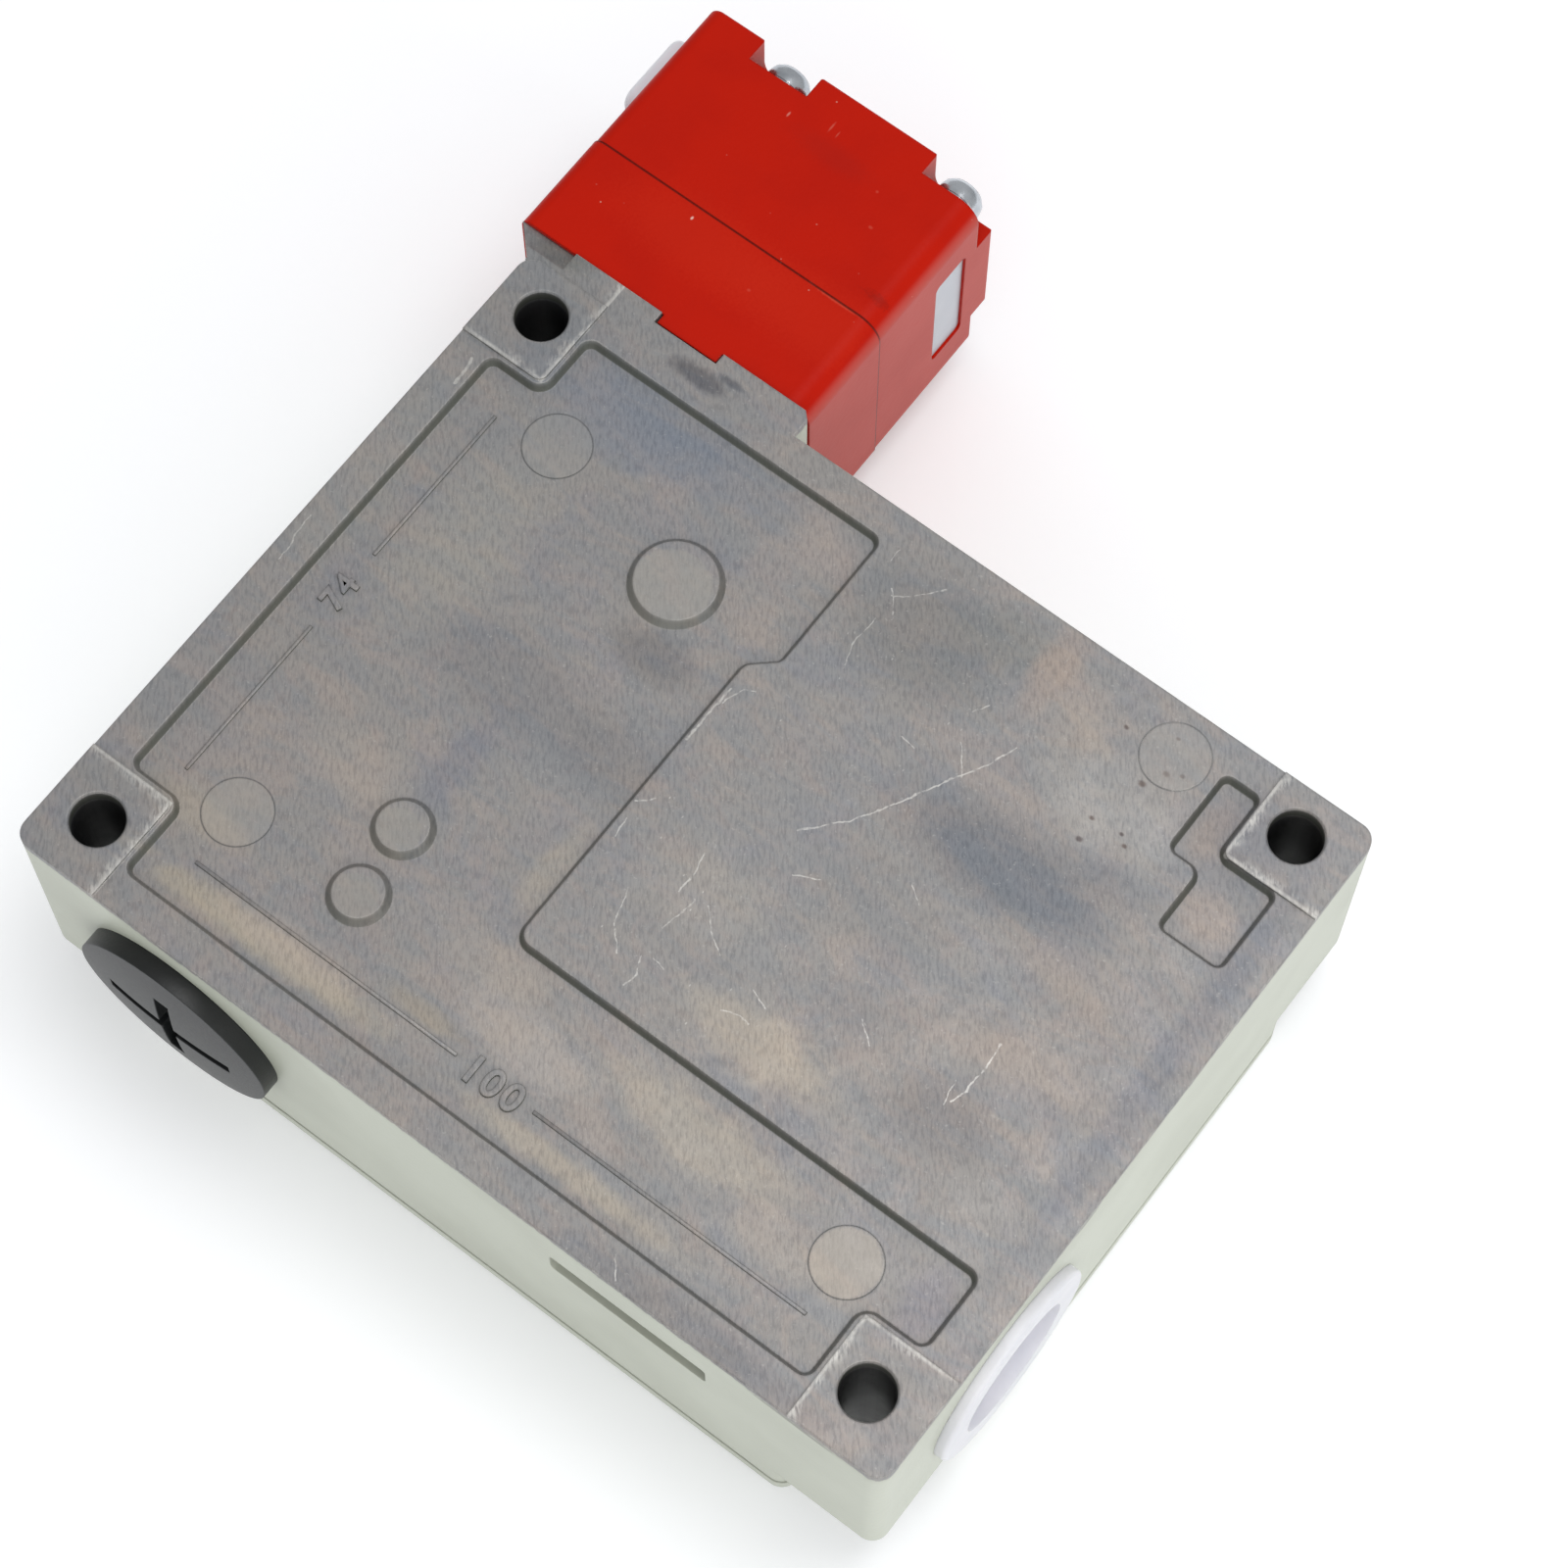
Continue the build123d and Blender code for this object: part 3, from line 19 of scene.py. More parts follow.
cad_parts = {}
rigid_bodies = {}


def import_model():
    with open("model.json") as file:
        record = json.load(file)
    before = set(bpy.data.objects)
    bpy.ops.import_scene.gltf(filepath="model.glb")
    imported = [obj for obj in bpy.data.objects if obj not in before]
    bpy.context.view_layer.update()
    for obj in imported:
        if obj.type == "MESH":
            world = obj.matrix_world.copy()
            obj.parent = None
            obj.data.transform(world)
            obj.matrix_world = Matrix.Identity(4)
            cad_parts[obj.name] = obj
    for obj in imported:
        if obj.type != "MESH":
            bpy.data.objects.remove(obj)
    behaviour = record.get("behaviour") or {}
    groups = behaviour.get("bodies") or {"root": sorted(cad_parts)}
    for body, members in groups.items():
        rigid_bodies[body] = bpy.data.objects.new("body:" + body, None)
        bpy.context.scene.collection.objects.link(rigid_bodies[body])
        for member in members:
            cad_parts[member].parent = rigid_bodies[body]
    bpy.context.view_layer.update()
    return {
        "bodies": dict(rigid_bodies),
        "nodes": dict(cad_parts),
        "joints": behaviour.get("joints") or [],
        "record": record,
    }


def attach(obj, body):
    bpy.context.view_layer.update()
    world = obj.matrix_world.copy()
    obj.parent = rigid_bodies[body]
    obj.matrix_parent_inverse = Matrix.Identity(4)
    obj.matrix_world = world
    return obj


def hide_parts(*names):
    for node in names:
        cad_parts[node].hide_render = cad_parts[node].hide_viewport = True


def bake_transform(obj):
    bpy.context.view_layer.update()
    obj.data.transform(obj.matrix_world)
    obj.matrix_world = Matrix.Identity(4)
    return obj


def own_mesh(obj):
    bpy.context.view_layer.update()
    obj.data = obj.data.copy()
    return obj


MM = 0.001
LOG = logging.getLogger("door_switch")

Colour = tuple[float, float, float, float]
Point = tuple[float, float, float]


def tone(code: str) -> Colour:
    """Linear colour of a six-digit display code.

    Args:
        code: Red, green and blue as two hexadecimal digits each.

    Returns:
        Linear red, green, blue and an alpha of 1.
    """
    parts = [int(code[i:i + 2], 16) / 255 for i in (0, 2, 4)]
    red, green, blue = (c / 12.92 if c <= 0.04045 else ((c + 0.055) / 1.055) ** 2.4
                        for c in parts)
    return red, green, blue, 1.0


class Body(Enum):
    """Moving bodies that new pieces ride on."""

    HOUSING = "housing"
    PLUNGER = "plunger"


class Wire:
    """A value in a node tree, with operators that add Math nodes."""

    def __init__(self, graph: Graph, socket: bpy.types.NodeSocket) -> None:
        """Keep the graph and the output socket that this value comes from."""
        self.graph = graph
        self.socket = socket

    def apply(self, operation: str, *terms: Wire | float) -> Wire:
        """Add one Math node.

        Args:
            operation: The node's operation.
            terms: Its inputs in order.

        Returns:
            The node's result.
        """
        made = self.graph.node("ShaderNodeMath", {"operation": operation},
                               dict(enumerate(terms)))
        return Wire(self.graph, made.outputs[0])

    def __add__(self, other: Wire | float) -> Wire:
        """Sum."""
        return self.apply("ADD", self, other)

    def __radd__(self, other: float) -> Wire:
        """Sum with a number in front."""
        return self.apply("ADD", other, self)

    def __sub__(self, other: Wire | float) -> Wire:
        """Difference."""
        return self.apply("SUBTRACT", self, other)

    def __rsub__(self, other: float) -> Wire:
        """Difference from a number."""
        return self.apply("SUBTRACT", other, self)

    def __mul__(self, other: Wire | float) -> Wire:
        """Product."""
        return self.apply("MULTIPLY", self, other)

    def __rmul__(self, other: float) -> Wire:
        """Product with a number in front."""
        return self.apply("MULTIPLY", other, self)

    def __truediv__(self, other: Wire | float) -> Wire:
        """Quotient."""
        return self.apply("DIVIDE", self, other)

    def __neg__(self) -> Wire:
        """Opposite."""
        return self.apply("MULTIPLY", self, -1.0)

    def __abs__(self) -> Wire:
        """Size without the sign."""
        return self.apply("ABSOLUTE", self)

    def least(self, other: Wire | float) -> Wire:
        """The smaller of two values."""
        return self.apply("MINIMUM", self, other)

    def most(self, other: Wire | float) -> Wire:
        """The larger of two values."""
        return self.apply("MAXIMUM", self, other)

    def clipped(self) -> Wire:
        """The value kept between 0 and 1."""
        return self.most(0.0).least(1.0)

    def ramp(self, low: float, high: float, top: float = 1.0) -> Wire:
        """Smooth step from 0 at low to its top at high.

        Args:
            low: Value that gives 0.
            high: Value that gives the top. It may be below low for a falling step.
            top: Height of the step.

        Returns:
            The step.
        """
        first, last = min(low, high), max(low, high)
        start, end = (0.0, top) if low < high else (top, 0.0)
        made = self.graph.node(
            "ShaderNodeMapRange", {"interpolation_type": "SMOOTHSTEP"},
            {"Value": self, "From Min": first, "From Max": last, "To Min": start, "To Max": end})
        return Wire(self.graph, made.outputs[0])


class Arrow(Wire):
    """A vector in a node tree, with operators that add Vector Math nodes."""

    def turn_into(self, operation: str, *terms: Arrow | Point) -> Arrow:
        """Add one Vector Math node with a vector result.

        Args:
            operation: The node's operation.
            terms: Its vector inputs in order.

        Returns:
            The node's result.
        """
        made = self.graph.node("ShaderNodeVectorMath", {"operation": operation},
                               dict(enumerate(terms)))
        return Arrow(self.graph, made.outputs[0])

    def __add__(self, other: Arrow | Point) -> Arrow:
        """Sum."""
        return self.turn_into("ADD", self, other)

    def __sub__(self, other: Arrow | Point) -> Arrow:
        """Difference."""
        return self.turn_into("SUBTRACT", self, other)

    def __mul__(self, other: Arrow | Point) -> Arrow:
        """Product part by part."""
        return self.turn_into("MULTIPLY", self, other)

    def scaled(self, factor: Wire | float) -> Arrow:
        """The vector times a number."""
        made = self.graph.node("ShaderNodeVectorMath", {"operation": "SCALE"},
                               {0: self, "Scale": factor})
        return Arrow(self.graph, made.outputs[0])

    def dot(self, other: Arrow | Point) -> Wire:
        """Dot product."""
        made = self.graph.node("ShaderNodeVectorMath", {"operation": "DOT_PRODUCT"},
                               {0: self, 1: other})
        return Wire(self.graph, made.outputs["Value"])

    def distance(self, other: Arrow | Point) -> Wire:
        """Distance between the tips of two vectors."""
        made = self.graph.node("ShaderNodeVectorMath", {"operation": "DISTANCE"},
                               {0: self, 1: other})
        return Wire(self.graph, made.outputs["Value"])

    def length(self) -> Wire:
        """Length of the vector."""
        made = self.graph.node("ShaderNodeVectorMath", {"operation": "LENGTH"}, {0: self})
        return Wire(self.graph, made.outputs["Value"])

    def parts(self) -> tuple[Wire, Wire, Wire]:
        """The three parts of the vector."""
        made = self.graph.node("ShaderNodeSeparateXYZ", {}, {0: self})
        x, y, z = (Wire(self.graph, made.outputs[i]) for i in range(3))
        return x, y, z


class Graph:
    """A material under construction."""

    def __init__(self, name: str) -> None:
        """Start an empty material.

        Args:
            name: The material's name.
        """
        self.material = bpy.data.materials.new(name)
        self.material.use_nodes = True
        self.tree = self.material.node_tree
        self.tree.nodes.clear()

    def node(self, kind: str, settings: dict[str, object],
             sockets: dict[int | str, Wire | float | Point | Colour]) -> bpy.types.Node:
        """Add a node.

        Args:
            kind: The node's type.
            settings: Its own settings, set first. The stops of a colour ramp are given as
                pairs of place and colour under the name stops.
            sockets: Values or wires for its input sockets.

        Returns:
            The node.
        """
        made = self.tree.nodes.new(kind)
        for name, value in settings.items():
            if name == "stops":
                self.set_stops(made.color_ramp, value)
            else:
                setattr(made, name, value)
        for name, value in sockets.items():
            if isinstance(value, Wire):
                self.tree.links.new(value.socket, made.inputs[name])
            else:
                made.inputs[name].default_value = value
        return made

    @staticmethod
    def set_stops(ramp: bpy.types.ColorRamp, stops: tuple[tuple[float, Colour], ...]) -> None:
        """Fill a colour ramp.

        Args:
            ramp: The ramp, with its two first stops.
            stops: Place and colour of each stop, from low to high.
        """
        while len(ramp.elements) < len(stops):
            ramp.elements.new(1.0)
        for element, (place, colour) in zip(ramp.elements, stops):
            element.position = place
            element.color = colour

    def place(self) -> Arrow:
        """Object coordinates in millimetres."""
        made = self.node("ShaderNodeTexCoord", {}, {})
        return Arrow(self, made.outputs["Object"]).scaled(1 / MM)

    def facing(self) -> Arrow:
        """The surface's own direction in object coordinates."""
        made = self.node("ShaderNodeTexCoord", {}, {})
        return Arrow(self, made.outputs["Normal"])

    def noise(self, where: Arrow, scale: float, detail: float = 3.0, rough: float = 0.55,
              warp: float = 0.0) -> Wire:
        """Fractal noise between 0 and 1.

        Args:
            where: Coordinates in millimetres.
            scale: Features in each millimetre.
            detail: Number of octaves.
            rough: Weight of the finer octaves.
            warp: Distortion of the pattern.

        Returns:
            The noise.
        """
        made = self.node("ShaderNodeTexNoise", {}, {
            "Vector": where, "Scale": scale, "Detail": detail, "Roughness": rough,
            "Distortion": warp})
        return Wire(self, made.outputs[0])

    def cells(self, where: Arrow, scale: float) -> Wire:
        """Distance from the nearest of many scattered points.

        Args:
            where: Coordinates in millimetres.
            scale: Points in each millimetre.

        Returns:
            The distance in cells.
        """
        made = self.node("ShaderNodeTexVoronoi", {}, {"Vector": where, "Scale": scale})
        return Wire(self, made.outputs["Distance"])

    def blend(self, factor: Wire | float, first: Wire | Colour, second: Wire | Colour,
              mode: str = "MIX") -> Wire:
        """Mix two colours.

        Args:
            factor: Share of the second colour.
            first: Colour at 0.
            second: Colour at 1.
            mode: Way of mixing.

        Returns:
            The mixed colour.
        """
        made = self.node("ShaderNodeMix", {"data_type": "RGBA", "blend_type": mode},
                         {0: factor, 6: first, 7: second})
        return Wire(self, made.outputs[2])

    def wander(self, where: Arrow, scale: float, reach: float) -> Arrow:
        """A wandering offset that bends a straight line.

        Args:
            where: Coordinates in millimetres.
            scale: Bends in each millimetre.
            reach: Largest offset in millimetres.

        Returns:
            The offset.
        """
        made = self.node("ShaderNodeTexNoise", {}, {"Vector": where, "Scale": scale,
                                                    "Detail": 2.0})
        return (Arrow(self, made.outputs["Color"]) - (0.5, 0.5, 0.5)) * (reach, reach, 0.0)

    def soft_edges(self, radius: float) -> Arrow:
        """Direction of the surface as if its edges were rounded.

        Args:
            radius: Radius of the rounding in millimetres.

        Returns:
            The rounded direction.
        """
        made = self.node("ShaderNodeBevel", {"samples": 4}, {"Radius": radius * MM})
        return Arrow(self, made.outputs[0])

    def true_facing(self) -> Arrow:
        """The surface's direction in the scene."""
        made = self.node("ShaderNodeNewGeometry", {}, {})
        return Arrow(self, made.outputs["Normal"])

    def bump(self, height: Wire, depth: float, base: Arrow | None = None) -> Arrow:
        """Turn a height into a direction of the surface.

        Args:
            height: Height between 0 and 1.
            depth: Depth in millimetres that 1 stands for.
            base: Direction that the bump starts from.

        Returns:
            The direction.
        """
        sockets = {"Strength": 1.0, "Distance": depth * MM, "Height": height}
        if base is not None:
            sockets["Normal"] = base
        return Arrow(self, self.node("ShaderNodeBump", {}, sockets).outputs[0])

    def surface(self, sockets: dict[str, Wire | float | Colour]) -> bpy.types.Material:
        """Finish the material with one shader.

        Args:
            sockets: Values or wires for the shader's sockets.

        Returns:
            The material.
        """
        shader = self.node("ShaderNodeBsdfPrincipled", {}, sockets)
        self.node("ShaderNodeOutputMaterial", {}, {"Surface": Wire(self, shader.outputs[0])})
        return self.material


@dataclass(frozen=True)
class Stain:
    """A soft-edged patch of another colour."""

    centre: Point
    radii: Point
    colour: str
    weight: float = 0.5
    ragged: float = 0.9
    rim: tuple[float, float] = (1.25, 0.35)


@dataclass(frozen=True)
class Stroke:
    """A scratch along a few points on the back face."""

    points: tuple[tuple[float, float], ...]
    width: float = 0.12


def stained(graph: Graph, colour: Wire, place: Arrow, cloud: Wire,
            stains: tuple[Stain, ...]) -> Wire:
    """Lay soft-edged patches over a colour, mostly stains and one patch of painted shade.

    Args:
        graph: The material.
        colour: The colour below.
        place: Coordinates in millimetres.
        cloud: Noise that makes the borders ragged.
        stains: The patches.

    Returns:
        The stained colour.
    """
    for stain in stains:
        scale = tuple(1 / r for r in stain.radii)
        shift = tuple(-c / r for c, r in zip(stain.centre, stain.radii))
        reach = place.turn_into("MULTIPLY_ADD", place, scale, shift).length()
        share = (reach + (cloud - 0.5) * stain.ragged).ramp(*stain.rim, stain.weight)
        colour = graph.blend(share, colour, tone(stain.colour))
    return colour


def stroke_distance(place: Arrow, strokes: tuple[Stroke, ...]) -> Wire:
    """Distance from the nearest scratch, less its own half width.

    Args:
        place: Coordinates in millimetres, flattened on the back face.
        strokes: The scratches.

    Returns:
        The distance in millimetres.
    """
    nearest: dict[float, Wire] = {}
    for stroke in strokes:
        for start, end in zip(stroke.points, stroke.points[1:]):
            run = Vector((end[0] - start[0], end[1] - start[1], 0.0))
            offset = place - (start[0], start[1], 0.0)
            along = offset.dot(tuple(run / run.length_squared)).clipped()
            foot = place.graph.node("ShaderNodeVectorMath", {"operation": "SCALE"},
                                    {0: tuple(run), "Scale": along})
            gap = offset.distance(Arrow(place.graph, foot.outputs[0]))
            known = nearest.get(stroke.width)
            nearest[stroke.width] = gap if known is None else known.least(gap)
    return reduce(Wire.least, (gap - width / 2 for width, gap in nearest.items()))


@dataclass(frozen=True)
class CastHousing:
    """Die-cast alloy, bare on the back face and inside, painted on the outer walls."""

    metal: str = "868686"
    hole_x: float = 50.0
    hole_y: float = 37.0
    warm: str = "9D918A"
    rose: str = "928784"
    cool: str = "7D7F88"
    # Darker metal for the rubbed grain, also used for the painted shade round the ejector marks.
    deep: str = "66686A"
    # Pale colour of rubbed and worn metal, also used for the painted edge highlight.
    wear_and_highlight: str = "D8D6D0"
    # Colour of the painted shade on the recess walls and in their creases.
    wall_shade: str = "55584F"
    paint: str = "C6CABB"
    paint_dirt: str = "A9AC9C"
    bare_edge_z: float = -1.15
    left: float = -54.7
    right: float = 55.6
    low: float = -42.5
    high: float = 41.1
    land_z: float = -28.4
    pad_x: float = 45.0
    pad_y: float = 30.7
    streak_along: Point = (-0.607, 0.795, 0.0)
    streak_across: Point = (0.795, 0.607, 0.0)
    discs: tuple[Stain, ...] = (
        Stain((-39.3, 26.2, 0), (3.8, 3.8, 9), "969694", 0.3, 0.14, (1.03, 0.95)),
        Stain((-39.4, -27.2, 0), (3.8, 3.8, 9), "A09D97", 0.35, 0.14, (1.03, 0.95)),
        Stain((40.2, -27.4, 0), (3.8, 3.8, 9), "B1A89C", 0.42, 0.3, (1.03, 0.9)),
        Stain((34.8, 36.8, 0), (3.8, 3.8, 9), "9B9894", 0.3, 0.14, (1.03, 0.95)),
        Stain((-19.1, 20.1, 0), (4.6, 4.6, 9), "A39F97", 0.4, 0.14, (1.03, 0.92)),
        Stain((-24.7, -19.2, 0), (2.8, 2.8, 9), "9A978F", 0.4, 0.14, (1.03, 0.92)),
        Stain((-23.6, -27.5, 0), (2.8, 2.8, 9), "98958E", 0.35, 0.14, (1.03, 0.92)),
    )
    stains: tuple[Stain, ...] = (
        Stain((-33, 33.5, 0), (15, 5.5, 9), "707A8A", 0.62),
        Stain((-9, 34, 0), (5, 4, 9), "A8998F", 0.5),
        Stain((-16, 13, 0), (6, 3.2, 9), "5F6063", 0.6),
        Stain((-26, 2, 0), (13, 6, 9), "6C7076", 0.6),
        Stain((-24.5, -9, 0), (2.4, 7, 9), "6F7380", 0.5),
        Stain((-22, 26, 0), (9, 3, 9), "747B87", 0.4),
        Stain((6, 32, 0), (11, 8, 9), "65696A", 0.62),
        Stain((14, 37, 0), (7, 4, 9), "6F7371", 0.5),
        Stain((19, 37, 0), (2.6, 7, 9), "A39083", 0.55),
        Stain((25, 33, 0), (5, 3, 9), "A89A8C", 0.4),
        Stain((33, 28, 0), (9, 5.5, 9), "A3A19E", 0.5),
        Stain((28, 16, 0), (15, 6, 9), "596069", 0.75),
        Stain((46, 33, 0), (7, 8, 9), "6B6F76", 0.6),
        Stain((42.6, 33, 0), (2.2, 4.5, 9), "94877F", 0.6),
        Stain((47.5, 24.5, 0), (4, 3, 9), "9C8F86", 0.7),
        Stain((45, 0, 0), (8, 4, 9), "8A8078", 0.35),
        Stain((-53, 12, 0), (4, 18, 9), "8C8F8E", 0.4),
        Stain((31, -42.5, 0), (17, 2.6, 9), "6C6D70", 0.7),
        Stain((-50, 36, 0), (8, 8, 9), "6E7479", 0.4),
        Stain((-50, -34, 0), (6, 6, 9), "7C7F80", 0.35),
        Stain((-13, 1, 0), (7, 5, 9), "666A6E", 0.5),
        Stain((20, 5, 0), (9, 6, 9), "7A7A79", 0.4),
        Stain((-24, 35, 0), (14, 4, 9), "6E7884", 0.35),
        Stain((38, 21, 0), (7, 2.5, 9), "666A70", 0.5),
        Stain((42, 0, 0), (11, 3, 9), "9C9189", 0.45),
        Stain((42, 10, 0), (9, 4, 9), "95877C", 0.4),
        Stain((39, -10, 0), (7, 5, 9), "6B6868", 0.55),
        Stain((25, -6, 0), (6, 3, 9), "6F7379", 0.4),
        Stain((19, -15, 0), (10, 4, 9), "B8AA96", 0.6),
        Stain((6, -5, 0), (9, 6, 9), "A09B93", 0.4),
        Stain((53.5, 10, 0), (2.2, 30, 9), "666B76", 0.5),
        Stain((20, -26, 0), (12, 4, 9), "AFA493", 0.6),
        Stain((-8, -24, 0), (10, 3, 9), "A39A90", 0.45),
        Stain((-28, -36.6, 0), (17, 2.0, 9), "B5A890", 0.65),
        Stain((12, -37, 0), (16, 1.6, 9), "B3A794", 0.6),
        Stain((-43, -29.5, 0), (8, 2.6, 9), "AFA18D", 0.5),
        Stain((0, -29, 0), (9, 4, 9), "B2A79D", 0.55),
        Stain((-33, -16, 0), (9, 5, 9), "A39A91", 0.4),
        Stain((-26, -35.5, 0), (9, 2.4, 9), "B9A99B", 0.45),
        Stain((34, -30.5, 0), (9, 2.4, 9), "B0A292", 0.4),
        Stain((-10, -32.5, 0), (6, 1.4, 9), "A2937B", 0.5),
        Stain((-9.5, -12, 0), (2, 7, 9), "A59B8C", 0.5),
        Stain((-40, 12, 0), (7, 14, 9), "9A978F", 0.5),
        Stain((-48, 0, 0), (2.5, 5, 9), "777B85", 0.4),
        Stain((49, -26, 0), (3, 5, 9), "6E6D7C", 0.45),
        Stain((-31.5, 41.6, 0), (4.2, 1.3, 9), "43464E", 0.8, 1.6),
        Stain((-28.5, 43.2, 0), (1.8, 0.6, 9), "43464E", 0.75, 1.6),
        Stain((-48, -35.5, 0), (1.2, 0.7, 9), "5B5C5C", 0.6, 1.4),
        # Painted shade in the hollow under the head's left end.
        Stain((-53, 45, 0), (4.4, 2.4, 9), "5E6159", 0.62, 0.5),
    )
    pits: tuple[Stain, ...] = tuple(
        Stain((x, y, 0), (r, r * 0.8, 9), "4B3F3C", 0.9, 0.5) for x, y, r in (
            (28.8, 36.4, 0.35), (33.8, 32.2, 0.5), (35.2, 34.6, 0.45), (36.7, 35.4, 0.35),
            (32.2, 23.2, 0.45), (31.9, 25.9, 0.35), (36.4, 25.4, 0.35), (35.4, 26.3, 0.3),
            (33.9, 38.6, 0.3)))
    chips: tuple[Stain, ...] = (
        Stain((46, -43.8, -1.6), (5.5, 2, 0.45), "77776E", 0.8, 1.6),
        Stain((57, -9.3, -1.8), (2, 2.6, 0.5), "6B6B63", 0.85, 1.6),
        Stain((57, -33, -0.9), (2, 7, 0.4), "77776E", 0.6, 1.6),
    )
    strokes: tuple[Stroke, ...] = (
        Stroke(((8.4, 6.2), (12.2, 10.4), (14.8, 15), (17.2, 19.8), (20.2, 25), (21, 27.6)), 0.16),
        Stroke(((2.3, -1.6), (2.9, -4.2), (2.8, -6.6)), 0.16),
        Stroke(((4.7, -6.3), (4.4, -8.6), (3.7, -10.8))),
        Stroke(((6.2, -6), (8.2, -8), (10.3, -9.6)), 0.08),
        Stroke(((-1.6, -9.4), (-0.2, -13.6), (1.8, -15.8)), 0.1),
        Stroke(((4, -14.4), (4.8, -16.2), (4.6, -18))),
        Stroke(((5.2, -13.9), (6.9, -14.2)), 0.1),
        Stroke(((14.2, -14.2), (16, -13.5), (17.2, -13.7))),
        Stroke(((15.4, -10.4), (17.6, -11.2)), 0.08),
        Stroke(((11, 2), (13.6, 3.4)), 0.1),
        Stroke(((39, 0.2), (39.3, -3.4), (39.2, -6), (38.6, -7.8)), 0.14),
        Stroke(((37.6, -5.8), (38.2, -8.6)), 0.08),
        Stroke(((19, -32), (22, -33.3), (26, -33.4)), 0.14),
        Stroke(((26.8, -33.1), (30.6, -33.4)), 0.08),
        Stroke(((21.5, -41), (23.2, -43.2)), 0.14),
        Stroke(((0.2, 33.4), (2, 34.8), (4.4, 37.8)), 0.1),
        Stroke(((-0.2, 34.2), (1.6, 31.9)), 0.1),
        Stroke(((-2.4, 38.4), (-2.2, 36.8)), 0.08),
        Stroke(((0.4, 30.4), (0.2, 26.4), (1.2, 23.6)), 0.08),
        Stroke(((-7.1, 7.2), (-7.0, 10.4), (-6.9, 14.6)), 0.22),
        Stroke(((-6.6, 13), (-5.6, 15.4), (-4.6, 15.8))),
        Stroke(((-7, -1.4), (-5.4, 0.2)), 0.12),
        Stroke(((-6.6, -3.4), (-6.0, -5.8)), 0.1),
        Stroke(((14.8, 27.6), (15.8, 29.6)), 0.08),
        Stroke(((10.6, 21.3), (12.6, 20.9)), 0.08),
        Stroke(((16, 24.4), (18.4, 21.4)), 0.08),
        Stroke(((-52.9, 28.4), (-52.4, 25.2)), 0.3),
        Stroke(((-54.8, 3.4), (-54.2, -2.6)), 0.1),
        Stroke(((-20.2, -17.6), (-16.8, -18.8)), 0.08),
        Stroke(((12, -26), (13.8, -23.8)), 0.1),
        Stroke(((4.6, -29.4), (7.2, -29.9)), 0.08),
        Stroke(((26.2, -6.2), (28.4, -8)), 0.07),
        Stroke(((21.6, 8.6), (23.4, 7.2)), 0.07),
        Stroke(((-5.8, -37.2), (-4.2, -39.6)), 0.08),
    )
    marks: tuple[tuple[float, float], ...] = ((-39.3, 26.2), (-39.4, -27.2), (34.8, 36.8),
                                              (40.2, -27.4))
    mark_radius: float = 3.9

    def dress(self, name: str) -> bpy.types.Material:
        """Make the material.

        Args:
            name: The material's name.

        Returns:
            The material.
        """
        graph = Graph(name)
        place = graph.place()
        x, y, z = place.parts()
        _, _, up = graph.facing().parts()
        flat = place * (1.0, 1.0, 0.0)
        cloud = graph.noise(place, 0.22, 5.0, 0.62, 0.6)
        fine = graph.noise(place, 2.4, 4.0, 0.6)
        inside = ((x - self.left).ramp(-0.2, 0.0) * (self.right - x).ramp(-0.2, 0.0)
                  * (y - self.low).ramp(-0.2, 0.0) * (self.high - y).ramp(-0.2, 0.0)
                  * (z - self.land_z).ramp(0.0, 0.2))
        fibres = self.streaks(graph, place, 1.6)
        ragged = z + (graph.noise(place, 0.9, 4.0, 0.65) - 0.5) * 0.9 + (fibres - 0.5) * 1.1
        near_back = (ragged - self.bare_edge_z).ramp(-0.3, 0.3)
        level = up.ramp(0.35, 0.6) * (z + 4.0).ramp(0.0, 0.2)
        bare = inside.most(near_back).most(level)

        streak = self.streaks(graph, place, 3.2)
        metal = self.metal_colour(graph, flat, cloud, fine, streak,
                                  graph.noise(flat * (0.35, 1.0, 1.0), 0.24, 5.0, 0.6, 0.7))
        rounded = graph.soft_edges(0.3)
        turn = 1.0 - rounded.dot(graph.true_facing())
        edge = turn.ramp(0.03, 0.3)
        above = (z + 0.75).ramp(-0.1, 0.1)
        patch = graph.noise(place, 0.3, 3.0).ramp(0.4, 0.64)
        # Painted highlight along the upper edges, partly edge wear, in the pale metal colour.
        rim = edge * above * (0.2 + patch * (0.4 + streak * 0.8))
